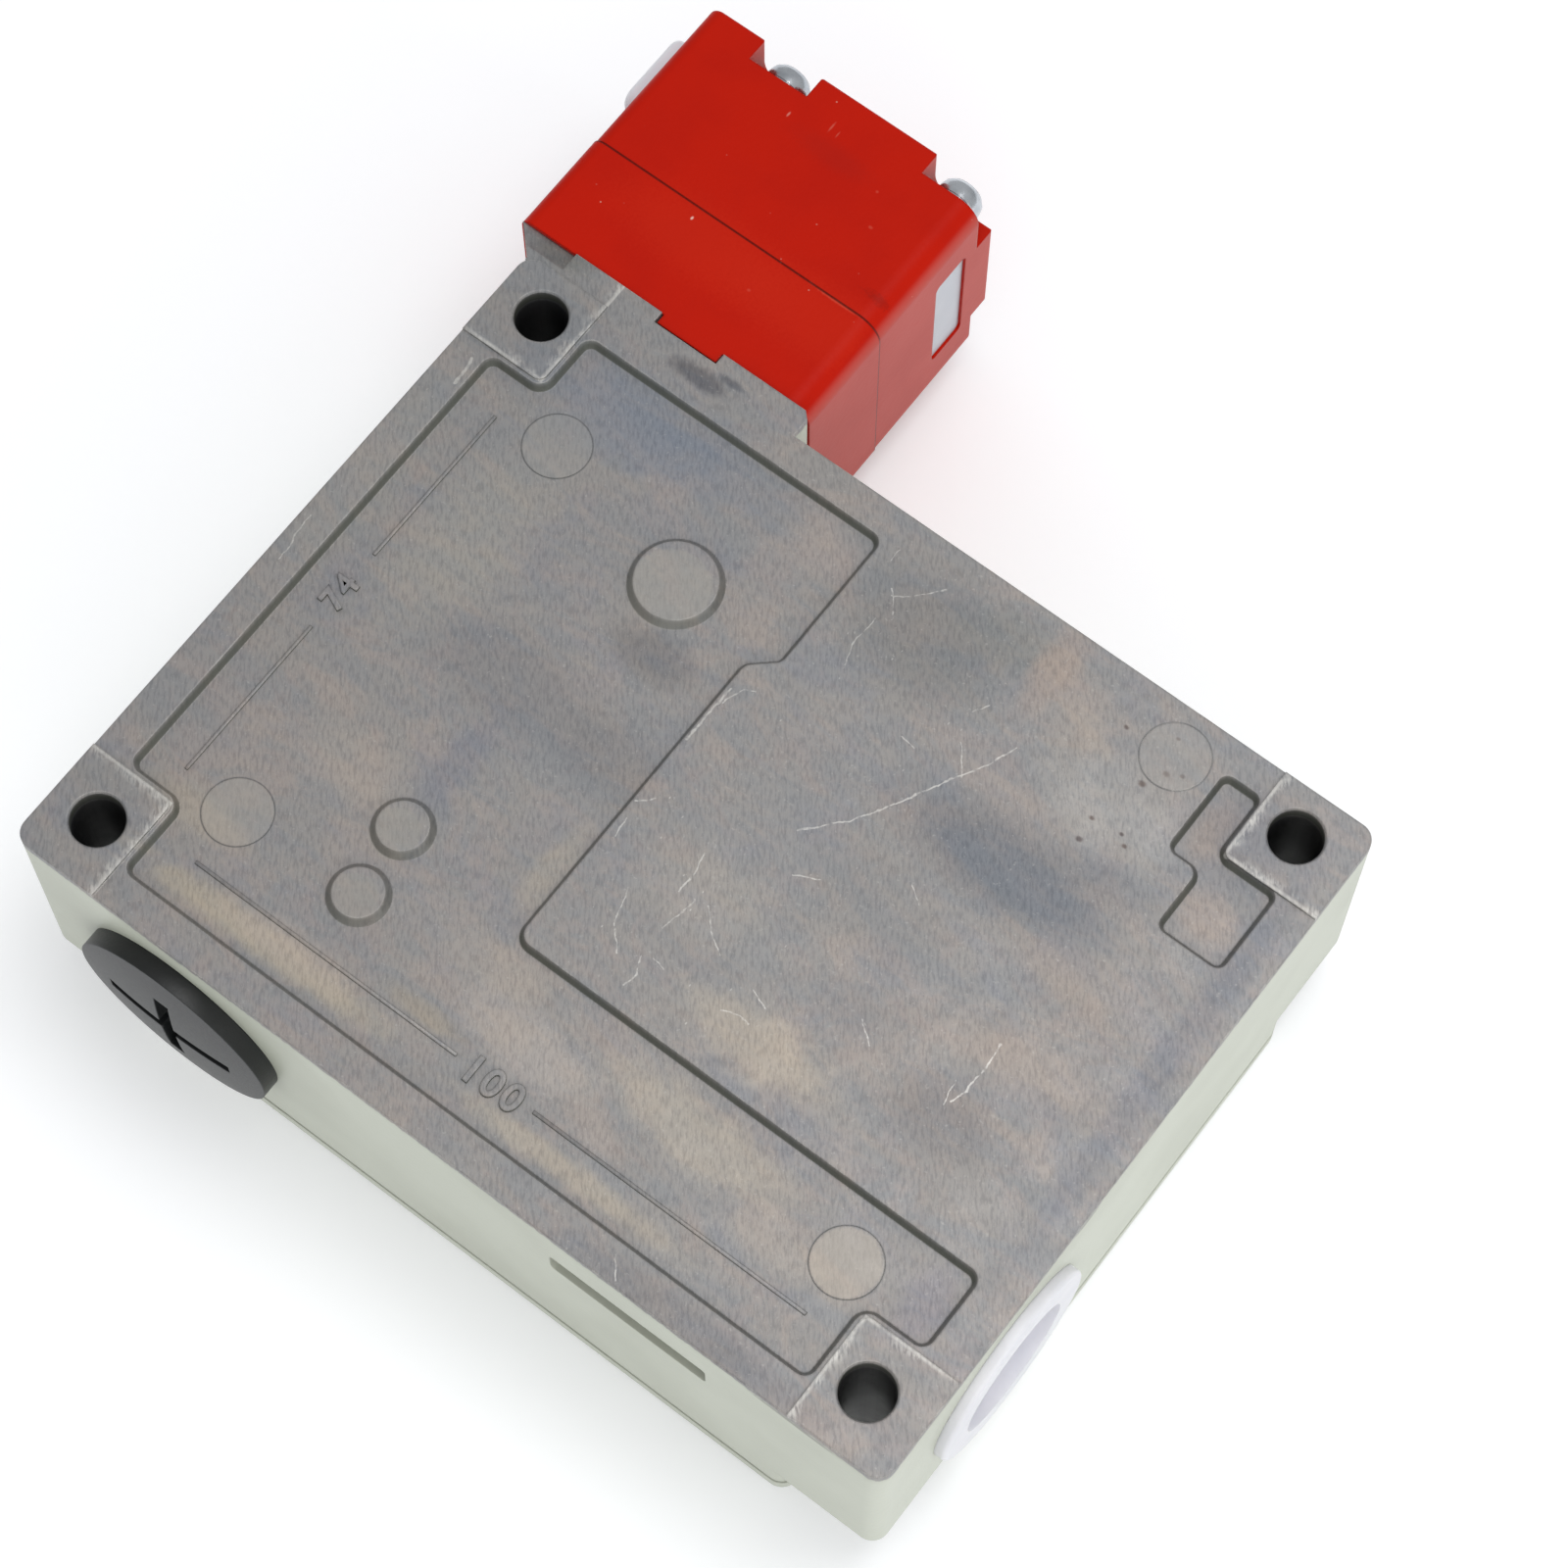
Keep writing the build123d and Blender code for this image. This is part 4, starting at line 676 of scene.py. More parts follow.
        # Painted shade on the recess walls: darker on walls that face away from the light and darker
        # towards their foot, with painted shade in the creases along the foot.
        shaded_side = graph.facing().dot((-0.5, 0.85, 0.0)).ramp(0.6, -0.2)
        wall_shade = (1.0 - abs(up)).ramp(0.15, 0.6) * inside * (z + 1.7).ramp(0.0, 0.2)
        wall_shade = wall_shade * (0.42 + shaded_side * 0.48) * (0.5 + z.ramp(-0.4, -0.8) * 0.5)
        crease_shade = edge * (1.0 - above) * inside * (z + 1.7).ramp(0.0, 0.2)
        metal = graph.blend(wall_shade.most(crease_shade * (0.25 + shaded_side * 0.25)), metal, tone(self.wall_shade))
        metal = graph.blend(rim * 0.9, metal, tone(self.wear_and_highlight))
        pad_gap = (abs(x) - self.pad_x).least(abs(y) - self.pad_y)
        burnish = pad_gap.ramp(0.0, 0.15) * pad_gap.ramp(1.5, 0.0) * above
        burnish = burnish * patch * streak.ramp(0.36, 0.62)
        lip = pad_gap.ramp(0.0, 0.1) * pad_gap.ramp(0.6, 0.25) * above * cloud.ramp(0.36, 0.5)
        burnish = burnish.most(lip * (0.1 + streak))
        metal = graph.blend(burnish * 0.72, metal, tone(self.wear_and_highlight))
        bent = flat + graph.wander(place, 0.45, 0.9)
        scratch = (stroke_distance(bent, self.strokes) + (fine - 0.5) * 0.3).ramp(0.05, -0.03)
        scratch = scratch * graph.noise(place, 1.3, 2.0).ramp(0.28, 0.56)
        flecks = self.flecks(graph, place, x, y)
        worn = scratch.most(flecks) * above
        metal = graph.blend(worn * 0.5, metal, tone(self.wear_and_highlight))

        coat = graph.blend(graph.noise(place, 0.05, 2.0).ramp(0.35, 0.7) * 0.35, tone(self.paint),
                           tone(self.paint_dirt))
        specks = graph.noise(place, 1.6, 3.0).ramp(0.66, 0.76)
        coat = graph.blend(specks * 0.35, coat, tone(self.paint_dirt))
        grime = (ragged - self.bare_edge_z).ramp(-1.6, 0.0)
        coat = graph.blend(grime * 0.3, coat, tone(self.paint_dirt))
        coat = stained(graph, coat, place, cloud, self.chips)
        colour = graph.blend(bare, coat, metal)
        hole_x, hole_y = abs(x) - self.hole_x, abs(y) - self.hole_y
        # Painted shade down the mounting-hole bores: near black below the back face.
        bore_shade = (hole_x * hole_x + hole_y * hole_y).ramp(12.0, 10.0) * z.ramp(-0.7, -2.4)
        colour = graph.blend(bore_shade * 0.88, colour, tone("121318"))

        rough = bare * (0.47 + (cloud - 0.5) * 0.25 - worn * 0.12) + (1.0 - bare) * 0.42
        grain = fine * 0.35 + streak * 0.4 + graph.noise(place, 0.8, 2.0) * 0.35
        height = bare * grain + (1.0 - bare) * (graph.noise(place, 1.1, 2.0) * 1.4 + 0.6)
        return graph.surface({
            "Base Color": colour, "Roughness": rough, "Metallic": bare * 0.45,
            "Normal": graph.bump(height, 0.03, rounded)})

    def streaks(self, graph: Graph, place: Arrow, fineness: float) -> Wire:
        """Rubbed grain that runs one way across the back face.

        Args:
            graph: The material.
            place: Coordinates in millimetres.
            fineness: Lines in each millimetre.

        Returns:
            The grain between 0 and 1.
        """
        along, across = place.dot(self.streak_along), place.dot(self.streak_across)
        made = graph.node("ShaderNodeCombineXYZ", {}, {
            0: across * fineness, 1: along * (fineness * 0.24), 2: 0.0})
        return graph.noise(Arrow(graph, made.outputs[0]), 1.0, 3.0, 0.6)

    def metal_colour(self, graph: Graph, flat: Arrow, cloud: Wire, fine: Wire, streak: Wire,
                     brush: Wire) -> Wire:
        """Mottled bare metal with its stains, with painted shade in the hollow under the head's left
        end and in a ring round each ejector mark.

        Args:
            graph: The material.
            flat: Coordinates in millimetres, without height.
            cloud: Coarse noise.
            fine: Fine noise.
            streak: Rubbed grain.
            brush: Soft bands along the longer side.

        Returns:
            The colour.
        """
        warm = graph.noise(flat * (0.8, 1.5, 1.0), 0.09, 5.0, 0.62, 1.4).ramp(0.46, 0.66)
        rose = graph.noise(flat * (0.9, 1.3, 1.0) + (40.0, 0.0, 0.0), 0.16, 5.0, 0.65, 1.1)
        cool = graph.noise(flat * (1.0, 1.4, 1.0) + (0.0, 70.0, 0.0), 0.07, 5.0, 0.6, 1.2)
        colour = graph.blend(warm * 0.5, tone(self.metal), tone(self.warm))
        colour = graph.blend(rose.ramp(0.5, 0.68) * 0.4, colour, tone(self.rose))
        colour = graph.blend(cool.ramp(0.5, 0.66) * 0.35, colour, tone(self.cool))
        colour = stained(graph, colour, flat, cloud, self.stains)
        colour = stained(graph, colour, flat, fine, self.pits)
        tint = graph.blend(brush.ramp(0.38, 0.62), tone(self.cool), tone(self.warm))
        colour = graph.blend(0.22, colour, tint)
        colour = graph.blend(streak.ramp(0.35, 0.65) * 0.42, colour, tone(self.wear_and_highlight),
                             "SOFT_LIGHT")
        colour = graph.blend(streak.ramp(0.55, 0.3) * 0.18, colour, tone(self.deep), "MULTIPLY")
        colour = graph.blend(fine.ramp(0.6, 0.72) * 0.16, colour, tone(self.wear_and_highlight))
        colour = stained(graph, colour, flat, fine, self.discs)
        ring = None
        for px, py in self.marks:
            gap = abs((flat - (px, py, 0.0)).length() - self.mark_radius)
            ring = gap if ring is None else ring.least(gap)
        # Painted shade in a ring round each ejector mark, broken up by noise.
        ring_shade = (ring + (cloud - 0.5) * 0.16).ramp(0.16, 0.02) * cloud.ramp(0.3, 0.55)
        return graph.blend(ring_shade * 0.55, colour, tone(self.deep))

    def flecks(self, graph: Graph, place: Arrow, x: Wire, y: Wire) -> Wire:
        """Short bright nicks on the middle of the island and here and there beside it.

        Args:
            graph: The material.
            place: Coordinates in millimetres.
            x: First coordinate.
            y: Second coordinate.

        Returns:
            Their mask.
        """
        area = ((x + 8.0).ramp(0.0, 2.0) * x.ramp(24.0, 6.0)) * ((y + 21.0).ramp(0.0, 3.0)
                                                                 * y.ramp(34.0, 24.0))
        skew = place * (1.0, 0.35, 0.0) + place.scaled(0.2)
        spots = graph.cells(skew, 0.75).ramp(0.085, 0.05)
        return spots * graph.noise(place, 0.5, 2.0).ramp(0.5, 0.6) * (0.12 + area * 0.88)


@dataclass(frozen=True)
class Enamel:
    """Sprayed paint with a fine orange-peel surface and a few pale nicks."""

    colour: str
    shade: str
    nick: str
    rough: float = 0.36
    peel: float = 0.02
    nicks: float = 0.5
    seam_y: float | None = None
    stains: tuple[Stain, ...] = ()
    shine: float = 0.5
    haze: float = 0.0
    # Share of the painted reflection on faces turned towards +X.
    side_reflection: float = 0.0

    def dress(self, name: str) -> bpy.types.Material:
        """Make the material.

        Args:
            name: The material's name.

        Returns:
            The material.
        """
        graph = Graph(name)
        place = graph.place()
        cloud = graph.noise(place, 0.12, 4.0)
        fine = graph.noise(place, 3.0, 3.0)
        rounded = graph.soft_edges(0.35)
        edge = (1.0 - rounded.dot(graph.true_facing())).ramp(0.04, 0.3)
        colour = graph.blend(cloud.ramp(0.35, 0.7) * 0.5, tone(self.colour), tone(self.shade))
        colour = graph.blend(fine.ramp(0.6, 0.75) * 0.2, colour, tone(self.shade))
        spots = graph.cells(place, 0.55).ramp(0.07, 0.045)
        spots = spots * graph.noise(place, 0.3, 2.0).ramp(0.55, 0.66)
        worn = edge * graph.noise(place, 0.9, 4.0, 0.65).ramp(0.62, 0.7)
        colour = graph.blend(spots.most(worn) * self.nicks, colour, tone(self.nick))
        colour = stained(graph, colour, place, fine, self.stains)
        # Painted reflection: faces turned towards +X are washed towards a pale pink.
        reflection_side = graph.facing().dot((1.0, 0.0, 0.0)).ramp(0.7, 0.97)
        colour = graph.blend(reflection_side * self.side_reflection, colour, tone("D9A79C"))
        if self.seam_y is not None:
            _, y, _ = place.parts()
            seam = abs(y - self.seam_y).ramp(0.22, 0.04)
            colour = graph.blend(seam * 0.75, colour, tone("3A0D08"))
        height = graph.noise(place, 1.3, 2.0) + fine * 0.35
        rough = self.rough + (cloud - 0.5) * 0.12
        return graph.surface({"Base Color": colour, "Roughness": rough,
                              "Specular IOR Level": self.shine, "Sheen Weight": self.haze,
                              "Sheen Roughness": 0.3,
                              "Normal": graph.bump(height, self.peel, rounded)})


@dataclass(frozen=True)
class Moulded:
    """Moulded plastic with a fine grain, either solid or milky."""

    colour: str
    shade: str
    rough: float = 0.4
    grain: float = 0.015
    through: float = 0.0
    scatter: float = 0.0
    rubbed: str = "8A8C8C"
    rub: float = 0.0

    def dress(self, name: str) -> bpy.types.Material:
        """Make the material.

        Args:
            name: The material's name.

        Returns:
            The material.
        """
        graph = Graph(name)
        place = graph.place()
        cloud = graph.noise(place, 0.2, 3.0)
        fine = graph.noise(place, 4.0, 3.0)
        rounded = graph.soft_edges(0.25)
        edge = (1.0 - rounded.dot(graph.true_facing())).ramp(0.05, 0.35)
        colour = graph.blend(cloud.ramp(0.3, 0.7) * 0.6, tone(self.colour), tone(self.shade))
        colour = graph.blend(edge * self.rub * fine.ramp(0.3, 0.6), colour, tone(self.rubbed))
        return graph.surface({
            "Base Color": colour, "Roughness": self.rough + (fine - 0.5) * 0.16,
            "Transmission Weight": self.through, "Subsurface Weight": self.scatter,
            "Subsurface Radius": (1.0, 1.0, 1.0), "Subsurface Scale": 1.5 * MM, "IOR": 1.49,
            "Normal": graph.bump(fine, self.grain, rounded)})


@dataclass(frozen=True)
class Metal:
    """Machined, plated or drawn metal with light turning marks."""

    colour: str
    shade: str
    rough: float = 0.3
    across: Point = (1.0, 1.0, 1.0)
    depth: float = 0.008

    def dress(self, name: str) -> bpy.types.Material:
        """Make the material.

        Args:
            name: The material's name.

        Returns:
            The material.
        """
        graph = Graph(name)
        place = graph.place()
        cloud = graph.noise(place, 0.35, 3.0)
        lines = graph.noise(place * self.across, 5.0, 2.0)
        colour = graph.blend(cloud.ramp(0.35, 0.7), tone(self.colour), tone(self.shade))
        colour = graph.blend(lines.ramp(0.6, 0.75) * 0.4, colour, tone(self.shade))
        return graph.surface({
            "Base Color": colour, "Roughness": self.rough + (lines - 0.5) * 0.2, "Metallic": 1.0,
            "Normal": graph.bump(lines, self.depth, graph.soft_edges(0.12))})


@dataclass(frozen=True)
class Winding:
    """Varnished wire, wound in close turns along one axis."""

    colour: str = "8C4A24"
    shade: str = "5E2E15"
    pitch: float = 0.45

    def dress(self, name: str) -> bpy.types.Material:
        """Make the material.

        Args:
            name: The material's name.

        Returns:
            The material.
        """
        graph = Graph(name)
        place = graph.place()
        x, _, _ = place.parts()
        turns = x.apply("SINE", x * (2 * math.pi / self.pitch)) * 0.5 + 0.5
        cloud = graph.noise(place, 0.6, 3.0)
        colour = graph.blend(turns.ramp(0.0, 0.5), tone(self.shade), tone(self.colour))
        colour = graph.blend(cloud.ramp(0.5, 0.75) * 0.4, colour, tone(self.shade))
        return graph.surface({
            "Base Color": colour, "Roughness": 0.3 + cloud * 0.1, "Metallic": 0.5,
            "Normal": graph.bump(turns, 0.12)})


Finish = CastHousing | Enamel | Moulded | Metal | Winding

RED = Enamel("B91702", "AF1302", "D9B9A8", 0.42, 0.02, 0.45, 58.35, (
    Stain((-37, 72.5, -0.6), (6, 1.8, 1), "A01A10", 0.3),
    Stain((-41.5, 55, -0.6), (13, 5, 1), "C2230C", 0.5),
    Stain((-27, 55, -0.6), (13, 5, 1), "C2230C", 0.5),
    Stain((-44.1, 73.7, -0.6), (0.14, 0.4, 1), "D99A8C", 0.5, 0.5),
    Stain((-39.3, 75.3, -0.6), (0.14, 0.8, 1), "CC6A5A", 0.45, 0.5),
    Stain((-38.2, 74.9, -0.6), (0.1, 0.5, 1), "CC6A5A", 0.4, 0.5),
    Stain((-44.6, 56.8, -0.6), (0.16, 0.26, 1), "EBC8BC", 0.75, 0.5),
    Stain((-28.3, 67.8, -0.6), (0.3, 0.22, 1), "C85040", 0.5, 0.5),
    Stain((-30.4, 71.8, -0.6), (0.2, 0.2, 1), "C85040", 0.45, 0.5),
    Stain((-34.2, 53.5, -0.6), (0.25, 0.2, 1), "C85040", 0.4, 0.5),
    Stain((-25.5, 58.2, -0.6), (3.2, 0.22, 1), "CF4A36", 0.6, 1.2),
    Stain((-21.8, 61.2, -0.6), (2.6, 0.7, 1), "8E1408", 0.5, 1.6),
# The last figure is the share of the painted reflection on faces turned towards +X.
), 0.08, 0.12, 0.17)

COVER_PAINT = Enamel("C6CABB", "B9BDAD", "8C8D84", 0.42, 0.02, 0.4)
BLACK = Moulded("111415", "0D0F10", 0.42, 0.02, rub=0.14)
MILKY = Moulded("EFEEF4", "E4E5EC", 0.34, 0.01, through=0.12, scatter=0.5, rubbed="F6F6FA",
                rub=0.3)
RUBBER = Moulded("26282A", "1B1D1E", 0.65, 0.03)
INSERT = Moulded("CDD1D9", "C2C7D0", 0.34, 0.01, through=0.05, scatter=0.4, rubbed="F6F6FA",
                 rub=0.3)
IVORY = Moulded("D9D2BE", "CDC4AC", 0.45, 0.015)
DARK = Moulded("35383C", "292B2E", 0.45, 0.015)
ZINC = Metal("C9CDD2", "A7ACB2", 0.2, (1.0, 1.0, 1.0))
CAM_METAL = Metal("9A9DA0", "7F8285", 0.34, (0.3, 0.3, 3.0))
PIN_METAL = Metal("C4C6C8", "A4A7AA", 0.18, (1.0, 1.0, 0.2))
SPRING_METAL = Metal("A9ABAE", "85888B", 0.28)
BRASS = Metal("CBA65A", "A9863F", 0.3)
YOKE_METAL = Metal("8E9196", "74777B", 0.36, (0.4, 2.0, 2.0))


class Piece:
    """A new mesh that grows by operators, in millimetres."""

    def __init__(self, name: str) -> None:
        """Start an empty mesh.

        Args:
            name: The piece's name.
        """
        self.name = name
        self.mesh = bmesh.new()

    def finish(self, material: bpy.types.Material, body: Body | None, smooth: bool = True
               ) -> bpy.types.Object:
        """Turn the mesh into an object that rides on a body.

        Args:
            material: Its material.
            body: The body it moves with, or None for a piece that rides on no body.
            smooth: Whether its faces are shaded smooth up to a sharp edge.

        Returns:
            The object.
        """
        bmesh.ops.remove_doubles(self.mesh, verts=self.mesh.verts, dist=0.001)
        bmesh.ops.recalc_face_normals(self.mesh, faces=self.mesh.faces)
        bmesh.ops.scale(self.mesh, vec=(MM, MM, MM), verts=self.mesh.verts)
        data = bpy.data.meshes.new(self.name)
        self.mesh.to_mesh(data)
        self.mesh.free()
        made = bpy.data.objects.new(self.name, data)
        bpy.context.scene.collection.objects.link(made)
        data.materials.append(material)
        if smooth:
            data.shade_smooth()
            data.set_sharp_from_angle(angle=math.radians(35))
        if body is not None:
            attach(made, body.value)
        LOG.info("piece %s: %d faces", self.name, len(data.polygons))
        return made

    def bar(self, low: Point, high: Point, soften: float, segments: int = 2) -> None:
        """Add a bar with softened edges.

        Args:
            low: Its lowest corner.
            high: Its highest corner.
            soften: Radius along its edges.
            segments: Steps in the rounding.
        """
        size = Vector(high) - Vector(low)
        centre = (Vector(high) + Vector(low)) / 2
        matrix = Matrix.Translation(centre) @ Matrix.Diagonal((*size, 1.0))
        made = bmesh.ops.create_cube(self.mesh, size=1.0, matrix=matrix)
        edges = list({edge for vert in made["verts"] for edge in vert.link_edges})
        bmesh.ops.bevel(self.mesh, geom=edges, offset=soften, offset_type="OFFSET",
                        segments=segments, profile=0.5, affect="EDGES", material=-1)

    def disc(self, centre: Point, radius: float, rise: float, soften: float) -> None:
        """Add a low disc with a softened rim.

        Args:
            centre: Middle of its underside.
            radius: Its radius.
            rise: Its height.
            soften: Radius along its rim.
        """
        matrix = Matrix.Translation(Vector(centre) + Vector((0, 0, rise / 2)))
        made = bmesh.ops.create_cone(self.mesh, cap_ends=True, segments=72, radius1=radius,
                                     radius2=radius, depth=rise, matrix=matrix)
        top = centre[2] + rise - 1e-4
        rim = list({edge for vert in made["verts"] for edge in vert.link_edges
                    if all(v.co.z > top for v in edge.verts)})
        bmesh.ops.bevel(self.mesh, geom=rim, offset=soften, offset_type="OFFSET", segments=2,
                        profile=0.5, affect="EDGES", material=-1)

    def lettering(self, text: str, height: float, rise: float, matrix: Matrix) -> None:
        """Add raised lettering.

        Args:
            text: The figures.
            height: Height of a figure.
            rise: How far it stands up.
            matrix: Place and turn of the middle of its base.
        """
        curve = bpy.data.curves.new(self.name + "_text", "FONT")
        curve.body = text
        curve.align_x, curve.align_y = "CENTER", "CENTER"
        curve.size = height / 0.69
        curve.extrude = rise / 2
        curve.bevel_depth = rise * 0.4
        curve.bevel_resolution = 2
        curve.space_character = 1.16
        curve.offset = height * 0.02
        holder = bpy.data.objects.new(self.name + "_text", curve)
        bpy.context.scene.collection.objects.link(holder)
        bpy.context.view_layer.update()
        graph = bpy.context.evaluated_depsgraph_get()
        data = bpy.data.meshes.new_from_object(holder.evaluated_get(graph))
        part = bmesh.new()
        part.from_mesh(data)
        bmesh.ops.remove_doubles(part, verts=part.verts, dist=0.0005)
        bmesh.ops.transform(part, matrix=matrix @ Matrix.Translation((0, 0, rise / 2)),
                            verts=part.verts)
        part.to_mesh(data)
        part.free()
        self.mesh.from_mesh(data)
        bpy.data.objects.remove(holder)
        bpy.data.curves.remove(curve)
        bpy.data.meshes.remove(data)


@dataclass
class CadSet:
    """CAD nodes that keep their shape and get a finish each."""

    title: str
    finishes: dict[str, Finish]

    def dress(self, frame: dict, shared: dict[Finish, bpy.types.Material]) -> None:
        """Put a finish on each node.

        Args:
            frame: The loaded frame.
            shared: Materials that are made so far, for finishes used more than once.
        """
        for name, finish in self.finishes.items():
            slot = frame["nodes"][name]
            if finish not in shared:
                shared[finish] = finish.dress(f"{name}_finish")
            slot.data.materials.clear()
            slot.data.materials.append(shared[finish])
        LOG.info("%s: %d nodes dressed", self.title, len(self.finishes))


@dataclass
class CastMarks:
    """Raised lines, figures and ejector marks of the casting's back face."""

    recess_z: float = -1.3
    face_z: float = -0.3
    line_width: float = 0.45
    line_rise: float = 0.16
    ejector_radius: float = 3.9
    ejector_rise: float = 0.05
    down_line_x: float = -46.8
    down_lines: tuple[tuple[float, float], ...] = ((-26.8, -6.2), (4.2, 25.0))
    cross_line_y: float = -34.1
    cross_lines: tuple[tuple[float, float], ...] = ((-39.3, -4.5), (5.4, 40.2))
    figure_height: float = 2.6
    figure_rise: float = 0.22

    def build(self, material: bpy.types.Material) -> None:
        """Make the lines, the figures and the ejector marks.

        Args:
            material: The casting's own material.
        """
        half, base = self.line_width / 2, self.recess_z - 0.05
        lines = Piece("dimension_lines")
        for low, high in self.down_lines:
            lines.bar((self.down_line_x - half, low, base),
                      (self.down_line_x + half, high, self.recess_z + self.line_rise), 0.08)
        for low, high in self.cross_lines:
            lines.bar((low, self.cross_line_y - half, base),
                      (high, self.cross_line_y + half, self.recess_z + self.line_rise), 0.08)
        lines.finish(material, Body.HOUSING)

        figures = Piece("dimension_figures")
        rise = self.figure_rise
        down = Matrix.Translation((self.down_line_x, -1.4, self.recess_z)) @ Matrix.Rotation(
            math.radians(90), 4, "Z")
        across = Matrix.Translation((0.3, -34.4, self.recess_z))
        figures.lettering("74", self.figure_height, rise, down)
        figures.lettering("100", self.figure_height + 0.4, rise, across)
        figures.finish(material, Body.HOUSING, smooth=False)

        marks = Piece("ejector_marks")
        for x, y in ((-39.3, 26.2), (-39.4, -27.2), (40.2, -27.4)):
            marks.disc((x, y, base), self.ejector_radius, 0.05 + self.ejector_rise, 0.05)
        marks.disc((34.8, 36.8, self.face_z - 0.05), self.ejector_radius,
                   0.05 + self.ejector_rise, 0.05)
        marks.finish(material, Body.HOUSING, smooth=False)


@dataclass
class HeadScrews:
    """The head's four pan-head screws with their cross recesses."""

    axis_x: float = -35.9
    axis_z: float = -17.0
    pitch: float = 24.0
    seat_y: float = 77.6
    tip_y: float = 42.3
    head_radius: float = 2.75
    head_height: float = 2.7
    shank_radius: float = 1.5
    recess_span: float = 3.0
    recess_width: float = 0.85
    recess_depth: float = 1.5

    def build(self, material: bpy.types.Material) -> None:
        """Make the screws in place of the plain ones.

        Args:
            material: Their plated metal.
        """
        piece = Piece("head_screw_set")
        half = self.pitch / 2
        for i in (-1, 1):
            for k in (-1, 1):
                turn = Matrix.Rotation(math.radians(17 + 31 * (i + 2 * k)), 4, "Z")
                stand = Matrix.Translation((self.axis_x + i * half, self.seat_y,
                                            self.axis_z + k * half)) @ Matrix.Rotation(
                    math.radians(-90), 4, "X")
                data = self.one(turn)
                part = bmesh.new()
                part.from_mesh(data)
                bmesh.ops.transform(part, matrix=stand, verts=part.verts)
                part.to_mesh(data)
                part.free()
                piece.mesh.from_mesh(data)
                bpy.data.meshes.remove(data)
        made = piece.finish(material, Body.HOUSING)
        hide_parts("head_screws")

    def profile(self) -> list[Point]:
        """Half section of a screw, from the top of its head to its tip."""
        top, r = self.head_height, self.head_radius
        return [(0.0, 0.0, top), (r * 0.45, 0.0, top - 0.08), (r * 0.75, 0.0, top - 0.36),
                (r * 0.94, 0.0, top - 0.95), (r, 0.0, top - 1.6), (r, 0.0, 0.12),
                (r - 0.12, 0.0, 0.0), (self.shank_radius, 0.0, 0.0),
                (self.shank_radius, 0.0, self.tip_y - self.seat_y + 0.3),
                (self.shank_radius - 0.3, 0.0, self.tip_y - self.seat_y),
                (0.0, 0.0, self.tip_y - self.seat_y)]

    def one(self, turn: Matrix) -> bpy.types.Mesh:
        """One screw along +Z with its seat at the origin.

        Args:
            turn: Turn of the recess about the screw's axis.

        Returns:
            Its mesh in millimetres.
        """
        body = bmesh.new()
        verts = [body.verts.new(point) for point in self.profile()]
        edges = [body.edges.new(pair) for pair in zip(verts, verts[1:])]
        bmesh.ops.spin(body, geom=verts + edges, cent=(0, 0, 0), axis=(0, 0, 1),
                       angle=2 * math.pi, steps=48, use_merge=True, use_duplicate=False)
        bmesh.ops.remove_doubles(body, verts=body.verts, dist=0.001)
        bmesh.ops.recalc_face_normals(body, faces=body.faces)
        cutter = bmesh.new()
        for angle in (0, 90):
            matrix = (turn @ Matrix.Rotation(math.radians(angle), 4, "Z")
                      @ Matrix.Translation((0, 0, self.head_height)))
            made = bmesh.ops.create_cube(cutter, size=1.0)
            for vert in made["verts"]:
                deep = vert.co.z < 0
                vert.co = Vector((vert.co.x * self.recess_span * (0.55 if deep else 1.15),
                                  vert.co.y * self.recess_width * (0.7 if deep else 1.1),
                                  -self.recess_depth if deep else 0.4))
            bmesh.ops.transform(cutter, matrix=matrix, verts=made["verts"])
        return carved(body, cutter)


def carved(body: bmesh.types.BMesh, cutter: bmesh.types.BMesh) -> bpy.types.Mesh:
    """Cut one mesh out of another.

    Args:
        body: The mesh that stays. It is freed.
        cutter: The mesh that is taken out. It is freed.

    Returns:
        The cut mesh.
    """
    holders = []
    for name, part in (("carve_body", body), ("carve_tool", cutter)):
        data = bpy.data.meshes.new(name)
        part.to_mesh(data)
        part.free()
        holder = bpy.data.objects.new(name, data)
        bpy.context.scene.collection.objects.link(holder)
        holders.append(holder)
    solid, tool = holders
    cut = solid.modifiers.new("carve", "BOOLEAN")
    cut.operation, cut.object, cut.solver, cut.use_self = "DIFFERENCE", tool, "EXACT", True
    bpy.context.view_layer.update()
    graph = bpy.context.evaluated_depsgraph_get()
    result = bpy.data.meshes.new_from_object(solid.evaluated_get(graph))
    for holder in holders:
        data = holder.data
        bpy.data.objects.remove(holder)
        bpy.data.meshes.remove(data)
    return result


